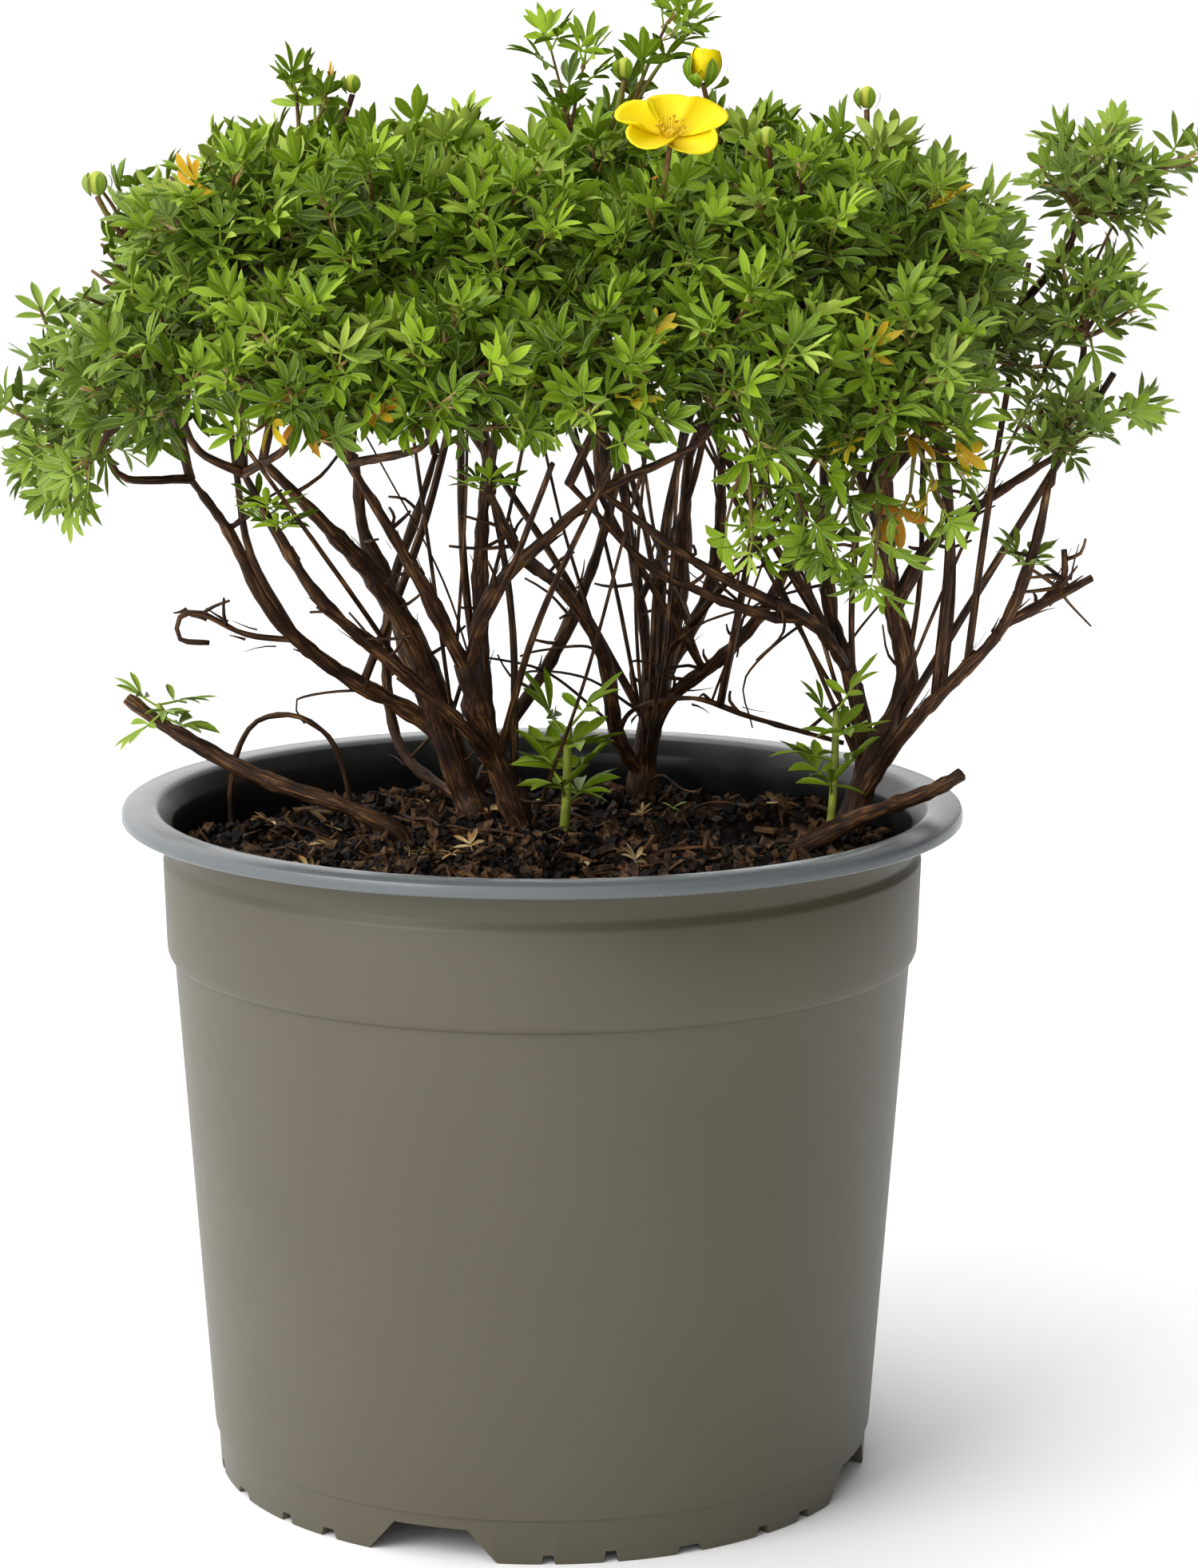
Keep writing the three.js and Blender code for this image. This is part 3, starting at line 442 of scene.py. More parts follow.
# Woody stems: old brown shoots that grew out of three root crowns, with dark peeling bark and orange streaks.
# The routes are those of the solids, from the crown up, in millimetres, with the radii of both ends.
STEMS = {
    "left_a": ("left", (5.2, 3.4), [(-8, 29, 158), (-5, 25, 168), (-13, 18, 191), (-17, 15, 202),
        (-21, 11, 218)]),
    "left_a_left": ("left", (2.6, 1.9), [(-20, 12, 215), (-31, 0, 239), (-40, -12, 257), (-50, -25, 276)]),
    "left_a_right": ("left", (2.4, 1.7), [(-20, 12, 215), (-14, 5, 237), (3, 0, 255), (17, -5, 268)]),
    "left_b": ("left", (3.1, 2), [(-13, 20, 188), (-16, 28, 207), (-17, 28, 235), (-15, 22, 276)]),
    "left_f": ("left", (2.4, 1.7), [(-13, 18, 189), (-22, 8, 202), (-40, -2, 220), (-56, -12, 236),
        (-65, -20, 250), (-77, -30, 274)]),
    "left_c": ("left", (5.4, 2.1), [(-11, 32, 158), (-20, 40, 174), (-26, 38, 192), (-33, 32, 216),
        (-45, 22, 239), (-57, 12, 254), (-74, 0, 274)]),
    "left_d": ("left", (3.2, 1.8), [(-23, 40, 182), (-33, 50, 203), (-39, 54, 218), (-44, 56, 236),
        (-50, 58, 248), (-52, 60, 268)]),
    "left_e": ("left", (1.9, 1.4), [(-20, 40, 174), (-38, 64, 182), (-44, 72, 200), (-43, 72, 228),
        (-36, 72, 249), (-30, 72, 268)]),
    "left_g": ("left", (3, 1.7), [(-24, 39, 186), (-33, 42, 197), (-58, 36, 213), (-74, 28, 230),
        (-85, 20, 253), (-94, 10, 268)]),
    "left_h": ("left", (2.2, 1.6), [(-20, 40, 174), (-8, 55, 195), (5, 60, 216), (16, 62, 243),
        (22, 62, 268)]),
    "left_curl": ("left", (0.9, 0.8), [(-67, 32, 221), (-81, 30, 223), (-93, 28, 229), (-99, 28, 228),
        (-99, 28, 222), (-91, 28, 221)]),
    "centre_a": ("centre", (5, 2), [(28, 72, 158), (29, 72, 180), (33, 70, 202), (38, 68, 226),
        (41, 64, 268)]),
    "centre_b": ("centre", (2.5, 1.8), [(33, 71, 202), (46, 75, 225), (50, 78, 242), (51, 80, 266)]),
    "centre_c": ("centre", (2.6, 1.6), [(28, 72, 176), (21, 62, 190), (17, 50, 214), (6, 38, 234),
        (-6, 10, 248), (-14, -18, 268)]),
    "centre_d": ("centre", (2.2, 1.5), [(29, 72, 182), (30, 85, 202), (29, 88, 218), (22, 92, 262)]),
    "centre_e": ("centre", (2.6, 1.7), [(29, 72, 184), (37, 66, 200), (49, 58, 211), (58, 50, 222),
        (65, 44, 234), (72, 38, 254)]),
    "centre_long": ("centre", (0.9, 0.8), [(21, 62, 189), (26, 50, 199), (42, 44, 203), (58, 42, 198),
        (84, 46, 190)]),
    "right_a": ("right", (5, 1.9), [(82, 20, 158), (86, 20, 178), (91, 20, 192), (99, 18, 212),
        (94, 15, 238), (92, 8, 272)]),
    "right_b": ("right", (3.4, 1.8), [(85, 20, 172), (89, 28, 192), (84, 32, 213), (79, 36, 230),
        (77, 40, 271)]),
    "right_c": ("right", (2.6, 1.6), [(87, 19, 180), (98, 8, 200), (110, 0, 215), (122, -8, 231),
        (129, -14, 252), (132, -18, 270)]),
    "right_c_cut": ("right", (1.7, 1.4), [(122, -8, 231), (133, -6, 237), (146, -2, 243)]),
    "right_c_spur": ("right", (1.2, 1), [(133, -6, 237), (138, -5, 243), (138, -5, 251)]),
    "right_d": ("right", (2.3, 1.8), [(95, 15, 232), (103, 10, 249), (113, 4, 259), (123, 0, 267),
        (136, -4, 276)]),
    "right_front": ("right", (2.1, 1.7), [(94, 15, 238), (90, -8, 252), (84, -30, 268)]),
    "right_arm": ("right", (1.9, 1.6), [(92, 8, 268), (110, 12, 290), (126, 6, 314)]),
    "cross_upper": ("right", (2, 1.4), [(84, 32, 213), (72, 10, 230), (53, -8, 241), (35, -20, 253),
        (15, -34, 270)]),
    "cross_lower": ("right", (1.6, 1.2), [(72, 10, 230), (60, 4, 232), (43, -2, 239), (27, -8, 248),
        (7, -18, 270)]),
    "cut_left": ("cut_left", (2.7, 2.3), [(-36, 10, 158), (-38, 10, 170), (-51, 10, 178), (-67, 12, 183),
        (-83, 15, 189), (-103, 18, 200), (-113, 20, 207)]),
    "cut_right": ("cut_right", (3, 2.4), [(60, -8, 158), (66, -6, 168), (82, -3, 177), (92, -12, 183),
        (103, -20, 189), (110, -24, 194)]),
    "arch": ("arch", (0.9, 0.8), [(-86, 35, 158), (-86, 35, 182), (-81, 34, 196), (-73, 34, 200),
        (-64, 34, 198), (-56, 34, 188), (-50, 34, 158)]),
}
# Each spray of leaves has the stem that it ends, its centre and its reach, and a number within its group.
SPRAY_ROWS = {
    "front": [
        ("left_f", (-96, -50, 302), 32), ("left_f", (-58, -66, 302), 32),
        ("left_a_left", (-22, -70, 300), 31), ("cross_upper", (13, -70, 300), 30),
        ("cross_upper", (50, -66, 304), 32), ("right_front", (88, -54, 298), 32),
    ],
    "upper": [
        ("left_f", (-78, -38, 336), 30), ("left_a_left", (-44, -44, 334), 31),
        ("centre_c", (-8, -48, 332), 31), ("cross_lower", (27, -48, 326), 29),
        ("right_front", (63, -42, 334), 31), ("right_front", (97, -32, 328), 29),
    ],
    "top": [
        ("left_g", (-120, -14, 284), 26), ("left_g", (-102, -2, 322), 28), ("left_c", (-62, -6, 338), 30),
        ("left_b", (-26, -8, 340), 30), ("left_a_right", (12, -8, 340), 30),
        ("centre_e", (52, -6, 340), 30), ("right_a", (86, 0, 336), 30), ("right_a", (114, -8, 308), 24),
        ("right_arm", (141, -14, 345), 22), ("right_d", (142, -14, 314), 20),
        ("right_c", (134, -20, 283), 15),
    ],
    "back": [
        ("left_g", (-102, 34, 300), 29), ("left_c", (-66, 34, 326), 31), ("left_b", (-26, 32, 334), 32),
        ("left_h", (16, 32, 334), 32), ("centre_a", (58, 32, 332), 32), ("right_b", (96, 30, 318), 31),
        ("left_d", (-76, 74, 296), 30), ("left_e", (-38, 78, 312), 32), ("centre_d", (4, 82, 314), 32),
        ("centre_b", (46, 78, 312), 32), ("right_b", (84, 68, 298), 30),
    ],
}
SPRAYS = [(f"{group}_{number}", *row)
          for group, rows in SPRAY_ROWS.items() for number, row in enumerate(rows, 1)]
SIDE_SHOOTS = [
    ("top_1", (-128, -12, 307), 15),
    ("top_2", (-112, -8, 341), 9),
    ("top_3", (-63, -12, 363), 13),
    ("top_5", (4, -16, 374), 13),
    ("top_5", (29, -14, 381), 13),
    ("top_9", (160, -12, 350), 14),
    ("top_11", (148, -12, 286), 10),
    ("front_5", (52, -66, 270), 15),
    ("front_6", (84, -64, 262), 16),
]
CROWN_NODES = {
    "left": "stems_left_crown",
    "centre": "stems_centre_crown",
    "right": "stems_right_crown",
    "cut_left": "cut_branch_left",
    "cut_right": "cut_branch_right",
    "arch": "arching_dead_twig",
}
SHOOT_HALF = 0.66
TWIG_RADII = (1.35, 0.8)
THINNER_FROM = 245
THINNER_OVER = 30
THINNER_BY = 0.4


def smooth_route(points, step):
    """Points about a step apart on the smooth curve through a route's points."""
    route = [Vector(p) for p in points]
    ends = [2 * route[0] - route[1]] + route + [2 * route[-1] - route[-2]]
    fine = []
    for i in range(1, len(ends) - 2):
        before, start, end, after = ends[i - 1:i + 3]
        count = max(2, int((end - start).length / step))
        for k in range(count):
            t = k / count
            fine.append(0.5 * (2 * start + (end - before) * t
                               + (2 * before - 5 * start + 4 * end - after) * t * t
                               + (3 * start - before - 3 * end + after) * t ** 3))
    return fine + [route[-1]]


def tapered(count, thick, thin):
    """Radii that fall evenly from thick towards thin."""
    return [thick + (thin - thick) * i / count for i in range(count)]


def tubes(name, routes, sides):
    """Round stems as one mesh: each route is its points and the radius at each, in millimetres."""
    curve = bpy.data.curves.new(name, "CURVE")
    curve.dimensions = "3D"
    curve.bevel_depth = 1
    curve.bevel_resolution = max(0, sides // 4 - 1)
    for points, radii in routes:
        spline = curve.splines.new("POLY")
        spline.points.add(len(points) - 1)
        for point, place, radius in zip(spline.points, points, radii):
            point.co = (*(place * MM), 1)
            point.radius = radius * MM
    holder = bpy.data.objects.new(name, curve)
    bpy.context.collection.objects.link(holder)
    bpy.context.view_layer.update()
    mesh = bpy.data.meshes.new_from_object(holder.evaluated_get(bpy.context.evaluated_depsgraph_get()))
    bpy.data.objects.remove(holder)
    bm = bmesh.new()
    bm.from_mesh(mesh)
    bpy.data.meshes.remove(mesh)
    grain = bm.verts.layers.float_vector.new("grain")
    around = len(bm.verts) // sum(len(points) for points, radii in routes)
    ring = iter(bm.verts)
    for number, (points, radii) in enumerate(routes):
        along = 37.0 * number
        for place, before, radius in zip(points, points[:1] + points, radii):
            along += (place - before).length
            for k in range(around):
                turn = 2 * math.pi * k / around
                next(ring)[grain] = (radius * math.cos(turn), radius * math.sin(turn), along)
    bmesh.ops.holes_fill(bm, edges=bm.edges)
    return bm


def gnarl(bm, size, depth):
    """Knots and lengthwise ridges on bark: each point moves along its normal, less on a thin stem."""
    grain = bm.verts.layers.float_vector["grain"]
    bm.normal_update()
    for vert in bm.verts:
        own = vert[grain]
        lump = noise.noise(vert.co / MM / size) + 0.8 * noise.noise(Vector((own.x, own.y, own.z / 9)) / 1.3)
        vert.co += vert.normal * lump * depth * min(1, own.xy.length / 3) * MM


# Bark of old shrubby stems: brown-black, with paler brown strips lengthwise where the outer skin has peeled.
# The strips are under a millimetre wide and about a centimetre long.
bark, tree, shader = new_finish("peeling_stem_bark", Roughness=0.65, IOR=1.45, Specular_IOR_Level=0.3)
own_grain = node(tree, "ShaderNodeAttribute", attribute_name="grain").outputs["Vector"]
streaky = node(tree, "ShaderNodeMapping", {"Vector": own_grain, "Scale": (1.0, 1.0, 0.07)}).outputs["Vector"]
streaks = mottled(tree, 1.5, 5.0, streaky)
patches = mottled(tree, 0.09, 3.0, own_grain)
peeled = calc(tree, "MULTIPLY", calc(tree, "MULTIPLY_ADD", patches, 0.55, streaks), 0.65)
browns = [(0.34, "#140a05"), (0.46, "#2e1b0d"), (0.54, "#4a301b"), (0.61, "#74502c"), (0.7, "#a07c54")]
paint(tree, shader, ramp(tree, peeled, browns))
emboss(tree, shader, streaks, 0.7, 0.0005)

sites = {}
twig_routes = {crown: [] for crown in CROWN_NODES}
stem_routes = []
for name, stem, centre, reach in SPRAYS:
    start, centre = Vector(STEMS[stem][2][-1]), Vector(centre)
    along = ((centre - start).normalized() + Vector((0, 0, 0.5))).normalized()
    foot = centre - along * SHOOT_HALF * reach
    sites[name] = {"centre": centre, "reach": reach, "along": along, "foot": foot}
    route = smooth_route([start, foot - along * 3, foot + along * 0.25 * reach], 3)
    at_foot, at_tip = TWIG_RADII
    radii = [at_foot + (at_tip - at_foot) * i / (len(route) - 1) for i in range(len(route))]
    twig_routes[STEMS[stem][0]].append((route, radii))
for crown, node_name in CROWN_NODES.items():
    routes = list(twig_routes[crown])
    for own_crown, ends, points in STEMS.values():
        if own_crown != crown:
            continue
        route = smooth_route(points, 2.5)
        last = len(route) - 1
        radii = []
        for i, spot in enumerate(route):
            knobs = 0.9 + 0.3 * noise.noise(spot / 5)
            high = min(1, max(0, (spot.z - THINNER_FROM) / THINNER_OVER))
            radii.append((ends[0] + (ends[1] - ends[0]) * i / last) * knobs * (1 - THINNER_BY * high))
        routes.append((route, radii))
        if crown in ("left", "centre", "right"):
            stem_routes.append(route)
    bm = tubes(node_name, routes, 12)
    gnarl(bm, 2.6, 0.42)
    wood = place_mesh(bm, node_name + "_bark", bark)
    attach(wood, "root")
    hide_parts(node_name)

# Thin twigs, too many to follow one by one: each leaves an old stem low down and runs nearly straight up into
# the leaves. Short dead spurs stand off the stems, wiry dead shoots curl low over the soil, and shreds of old
# bark hang from the stems.
THIN_TWIGS = 42
SPURS = 90
WISPS = 20
SHREDS = 190
STEEPEST_LEAN = 0.62
HIGHEST_FORK = 225
INSIDE_POT = 92
OVER_SOIL = 172


def pick(draw, items):
    """One of several items by the next draw."""
    return items[int(draw(0, len(items) - 0.01))]


draw = seeded(733)
thin = []
ends = list(sites.values())
while len(thin) < THIN_TWIGS:
    route = pick(draw, stem_routes)
    start = route[int(draw(0, 0.7) * len(route))]
    goal = pick(draw, ends)["foot"] + Vector((draw(-16, 16), draw(-16, 16), draw(-6, 10)))
    if abs(goal.x - start.x) > STEEPEST_LEAN * (goal.z - start.z) or start.z > HIGHEST_FORK:
        continue
    bend = Vector((draw(-6, 6), draw(-6, 6), 0))
    twig = smooth_route([start, start.lerp(goal, 0.4) + bend, start.lerp(goal, 0.75) + 0.5 * bend, goal], 5)
    thick = draw(0.45, 0.8) if draw() < 0.6 else draw(0.95, 1.5)
    thin.append((twig, tapered(len(twig), thick, 0.65 * thick)))
for _ in range(SPURS):
    route = pick(draw, stem_routes)
    start = route[int(draw(0.25, 0.9) * len(route))]
    heading = Vector((draw(-1, 1), draw(-1, 0.6), draw(-0.2, 1))).normalized() * draw(5, 20)
    elbow = start + 0.5 * heading + Vector((draw(-2, 2), 0, draw(-2, 2)))
    spur = smooth_route([start, elbow, start + heading], 3)
    thin.append((spur, tapered(len(spur), 0.6, 0.3)))
for _ in range(WISPS):
    route = pick(draw, stem_routes)
    start = route[int(draw(0.1, 0.3) * len(route))]
    heading = Vector((draw(-1, 1), draw(-1, 0.4), draw(-0.1, 0.45))).normalized() * draw(22, 44)
    rise = Vector((draw(-5, 5), 0, draw(2, 10)))
    curl = Vector((draw(-8, 8), draw(-4, 4), draw(-12, 6)))
    wisp = [start, start + 0.45 * heading + rise, start + heading, start + 1.2 * heading + curl]
    wisp = smooth_route(wisp, 3)
    if all(p.xy.length < INSIDE_POT and p.z > OVER_SOIL for p in wisp[3:]):
        thin.append((wisp, tapered(len(wisp), 0.5, 0.3)))
bm = tubes("thin_twigs", thin, 4)
gnarl(bm, 2.5, 0.3)
for _ in range(SHREDS):
    route = pick(draw, stem_routes)
    at = int(draw(0.05, 0.8) * (len(route) - 2))
    heading = (route[at + 1] - route[at]).normalized()
    off = heading.orthogonal().normalized()
    off.rotate(Quaternion(heading, draw(0, 2 * math.pi)))
    shred = bmesh.ops.create_grid(bm, x_segments=3, y_segments=1, size=1)["verts"]
    long, wide, curl = draw(4, 11), draw(0.3, 0.8), draw(0.5, 2.5)
    for vert in shred:
        along = (vert.co.x + 1) / 2
        spread = off.cross(heading) * vert.co.y * wide * (1 - 0.7 * along)
        vert.co = (route[at] + off * (2.2 + curl * along ** 2) + heading * long * along + spread) * MM
twigs = place_mesh(bm, "thin_twigs", bark)
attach(twigs, "root")


# Leafy sprays: short shoots that end the twigs, crowded with leaves of five narrow leaflets each.
# Leaves are mid green with a paler rib and edge, and the youngest at the tips stand up and are silky.
# The centres and reaches are those of the solids that they replace.
LEAFLET_LENGTH = 10.8
LEAFLET_WIDTH = 2.75
LEAFLETS = [(0, 1.0, 0.0), (38, 0.95, 0.0), (-38, 0.95, 0.0), (82, 0.8, -1.2), (-82, 0.8, -1.2)]
STALK_LENGTH = 6.0
LEAF_KINDS = 16
LEAF_REACH, LEAF_BODY = 15, 12
SHOOT_COUNTS = [(26, 9), (20, 6), (0, 4)]
LEAF_SIZES = [(25, 1.0), (18, 0.9), (0, 0.8)]
OUTER_LEFT = -95
YELLOW_SHARE = 0.006
AUTUMN_SHARE = 0.25
AUTUMN_TONES = (0.91, 1.0)
AUTUMN_SPOTS = [(-70, 290), (-32, 286), (77, 312), (97, 283), (113, 268)]
YOUNGEST_TONE = 0.82
SHOOT_LEAF_GAP = 3.7
SIDE_LEAF_GAP = 7
FLOWER_AT = (31.8, -62, 361)
FLOWER_ROOM = (18, 4, -8, 16)
CANOPY_SIDES = (-108, 124)
CANOPY_TOP = 369
LOBE_TOP = 318
UNDERSIDE = 280
BARE_FROM, BARE_TO = -86, 46
# Shoots that hang lower than their sprays: the sprays' names, the shoots' tips and how far their leaves reach
LOW_SHOOTS = [
    ("front_1", (-111, -48, 283), 13), ("top_1", (-122, -20, 274), 12), ("front_5", (62, -66, 276), 16),
    ("front_6", (75, -62, 269), 16), ("front_6", (98, -56, 275), 13),
]

# Leaf: thin green blade, finely hairy, so its edges look pale. Leaves far out to the left and right are mixed
# towards a paler grey-green.
# A leaf's own number from 0 to 1 gives dark, mid, bright, young silky, yellow and orange leaves in turn.
# Among green leaves it is partly painted shade, lower on shoots that point down.
leaf_green, tree, shader = new_finish("hairy_green_leaf", Roughness=0.5, IOR=1.42, Specular_IOR_Level=0.3)
which = node(tree, "ShaderNodeAttribute", attribute_name="tone").outputs["Fac"]
across_and_along = node(tree, "ShaderNodeUVMap", uv_map="blade").outputs["UV"]
across = node(tree, "ShaderNodeSeparateXYZ", {"Vector": across_and_along}).outputs["X"]
cloud = between(tree, mottled(tree, 240.0, 3.0), 0, 1, -0.06, 0.06)
greens = ramp(tree, calc(tree, "ADD", which, cloud), [
    (0.0, "#2c4003"), (0.3, "#4b6604"), (0.55, "#6d8b07"), (0.75, "#8fae20"), (0.86, "#a0b050"),
    (0.92, "#c0ac16"), (1.0, "#c07a18")])
place = node(tree, "ShaderNodeTexCoord").outputs["Object"]
plan = node(tree, "ShaderNodeSeparateXYZ", {"Vector": place}).outputs["X"]
outer = between(tree, calc(tree, "ABSOLUTE", plan), 0.07, 0.13, 0.05, 0.42)
greyed = blend_colours(tree, outer, greens, linear("#7e9048"))
living = calc(tree, "LESS_THAN", which, 0.9)
hue = blend_colours(tree, living, greens, greyed)
rib = calc(tree, "MULTIPLY", between(tree, across, 0.2, 0.04), 0.4)
edge = calc(tree, "MULTIPLY", between(tree, across, 0.84, 1.0), 0.55)
with_rib = blend_colours(tree, rib, hue, linear("#a9bd4a"))
paint(tree, shader, blend_colours(tree, edge, with_rib, linear("#b7c486")))

# Young shoot stems: thin, green to reddish brown
young_stem, tree, shader = new_finish("young_shoot_skin", Roughness=0.6, IOR=1.42)
reds = [(0.38, "#482817"), (0.5, "#6a4a28"), (0.62, "#77752f")]
paint(tree, shader, ramp(tree, mottled(tree, 90.0, 3.0), reds))

# Stipules: dry papery scales where leaves join a shoot, with the same look as fallen leaves
dry_paper, tree, shader = new_finish("papery_stipule", Roughness=0.7, IOR=1.4)
straws = [(0.35, "#7d5a30"), (0.5, "#a98654"), (0.65, "#c9b283")]
paint(tree, shader, ramp(tree, mottled(tree, 150.0, 2.0), straws))


def flat_blade(bm, uv, steps_along, steps_across, on_map):
    """A grid with its map, and each of its points with its share along and its place across, -1 to 1."""
    grid = bmesh.ops.create_grid(bm, x_segments=steps_along, y_segments=steps_across, size=1)["verts"]
    spots = {vert: ((vert.co.x + 1) / 2, vert.co.y) for vert in grid}
    for vert, (along, across) in spots.items():
        for loop in vert.link_loops:
            loop[uv].uv = (on_map(across), along)
    return grid, spots.items()


def add_leaflet(bm, uv, length, width, fold, arch, twist):
    """One lance-shaped leaflet along +X: a small grid pulled to its outline, folded at the rib and arched."""
    grid, spots = flat_blade(bm, uv, 5, 2, abs)
    for vert, (along, across) in spots:
        half = 0.5 * width * (math.sin(math.pi * along ** 1.25) ** 0.72 * 0.94 + 0.06 * (1 - along))
        lift = abs(across) * half * fold - arch * length * along ** 2 + twist * across * half * along
        vert.co = (length * along, half * across, lift)
    return grid


def leaf_mesh():
    """A new bmesh with what leaves carry: the map of their blades and each leaf's tone."""
    bm = bmesh.new()
    return bm, bm.loops.layers.uv.new("blade"), bm.verts.layers.float.new("tone")


def leaf_kind(draw):
    """A whole leaf with its stalk behind the origin, its middle leaflet along +X and its upper side up."""
    bm, uv, tone_layer = leaf_mesh()
    broad = draw(0.8, 1.3)
    for angle, share, back in LEAFLETS:
        leaflet = add_leaflet(bm, uv, LEAFLET_LENGTH * share * draw(0.86, 1.12), LEAFLET_WIDTH * broad,
                              draw(0.25, 0.95), draw(-0.1, 0.24), draw(-0.5, 0.5))
        turn = turned(math.radians(angle + draw(-10, 10)))
        tilt = turned(math.radians(draw(-24, 8)), "Y")
        move(bm, leaflet, Matrix.Translation((back, 0, 0)), turn, tilt)
    stalk = bmesh.ops.create_cone(bm, cap_ends=False, segments=3, radius1=0.45, radius2=0.35,
                                  depth=STALK_LENGTH + 1.6)["verts"]
    move(bm, stalk, Matrix.Translation((-STALK_LENGTH / 2 + 0.4, 0, -0.2)), turned(math.pi / 2, "Y"))
    mesh = bpy.data.meshes.new("leaf_kind")
    bmesh.ops.remove_doubles(bm, verts=bm.verts, dist=0.02)
    bm.to_mesh(mesh)
    bm.free()
    return mesh


def add_leaf(bm, tone_layer, kind, base, axis, up, size, tone):
    """Sets one leaf with its stalk's foot at a base, pointing along its axis, upper side towards up."""
    start = len(bm.verts)
    bm.from_mesh(kind)
    bm.verts.ensure_lookup_table()
    fresh = bm.verts[start:]
    across = up.cross(axis).normalized()
    face_up = axis.cross(across)
    turn = Matrix((axis, across, face_up)).transposed().to_4x4()
    reach_out = Matrix.Translation((STALK_LENGTH, 0, 0))
    move(bm, fresh, Matrix.Translation(base * MM), turn, Matrix.Scale(size * MM, 4), reach_out)
    for vert in fresh:
        vert[tone_layer] = tone


def cell_planes(own):
    """The planes between a spray and its neighbours, each as a direction and a distance."""
    planes = []
    for other in sites.values():
        if other is own:
            continue
        toward = other["centre"] - own["centre"]
        far = toward.length
        share = (far * far + own["reach"] ** 2 - other["reach"] ** 2) / (2 * far)
        planes.append((toward / far, share))
    return planes


def even_directions(count):
    """Directions spread evenly over a sphere."""
    for i in range(count):
        z = 1 - (2 * i + 1) / count
        turn = i * math.pi * (3 - math.sqrt(5))
        r = math.sqrt(1 - z * z)
        yield Vector((r * math.cos(turn), r * math.sin(turn), z))


def leafy_shoot(bm, tone_layer, start, tip, bend, leaf_gap, leaf_size, shoot_tone_and_shade, draw):
    """Leaves in turn along a curved shoot, wide open low down and gathered upright at its tip."""
    route = smooth_route([start, (start + tip) / 2 + bend, tip], 1.5)
    total = sum((b - a).length for a, b in zip(route, route[1:]))
    count = max(2, int(total / leaf_gap))
    turn = draw(0, 6.28)
    for k in range(count + 3):
        share = min(1, 0.22 + 0.78 * (k + draw(-0.3, 0.3)) / count)
        spot = int(share * (len(route) - 1))
        place = route[spot]
        heading = (route[min(len(route) - 1, spot + 1)] - route[max(0, spot - 2)]).normalized()
        side = heading.orthogonal().normalized()
        side.rotate(Quaternion(heading, turn))
        turn += 2.4 + draw(-0.35, 0.35)
        young = max(0, (k - count + 3) / 6)
        opening = math.radians(draw(44, 80) * (1 - young) + draw(10, 28) * young)
        axis = (heading * math.cos(opening) + side * math.sin(opening)).normalized()
        axis = (axis + Vector((0, 0, draw(-0.05, 0.35)))).normalized()
        up = heading * math.sin(opening) - side * math.cos(opening) + Vector((0, 0, 0.7))
        size = leaf_size * (draw(0.78, 1.18) * (1 - young) + draw(0.55, 0.85) * young)
        tone = min(YOUNGEST_TONE, max(0.0, shoot_tone_and_shade + draw(-0.26, 0.26) + 0.26 * young))
        end = place + axis * LEAF_REACH * size
        if hides_flower(place) or hides_flower(end) or stray(place + axis * LEAF_BODY * size):
            continue
        near = [1 for x, z in AUTUMN_SPOTS if abs(place.x - x) < 9 and abs(place.z - z) < 8 and place.y < -20]
        if draw() < (AUTUMN_SHARE if near else YELLOW_SHARE):
            tone = draw(*AUTUMN_TONES)
        add_leaf(bm, tone_layer, pick(draw, kinds), place, axis, up, size, tone)
        if k % 2 == 0:
            stipule_spots.append((place, (heading + 0.5 * side).normalized(), side, draw(3, 6.5)))
    return route


def hides_flower(point):
    """Whether a point lies in or before the open flower, which stands clear of the leaves."""
    aside, behind, below, above = FLOWER_ROOM
    away = point - Vector(FLOWER_AT)
    return abs(away.x) < aside and away.y < behind and below < away.z < above


def stray(tip):
    """Whether a leaf's tip would hang below the canopy's underside, or stand over its top or beside it."""
    left, right = CANOPY_SIDES
    hangs = BARE_FROM < tip.x < BARE_TO and tip.z < UNDERSIDE - 0.1 * tip.y
    beside = (tip.x < left - 3 or right < tip.x < right + 4) and tip.z > LOBE_TOP
    dome = CANOPY_TOP - max(0, -70 - tip.x) * 0.5 - max(0, tip.x - 90) * 0.5
    under_top_shoot = -30 < tip.y < 2 and (-76 < tip.x < -50 or -10 < tip.x < 50)
    return hangs or beside or (tip.z > dome and left < tip.x < right and not under_top_shoot)


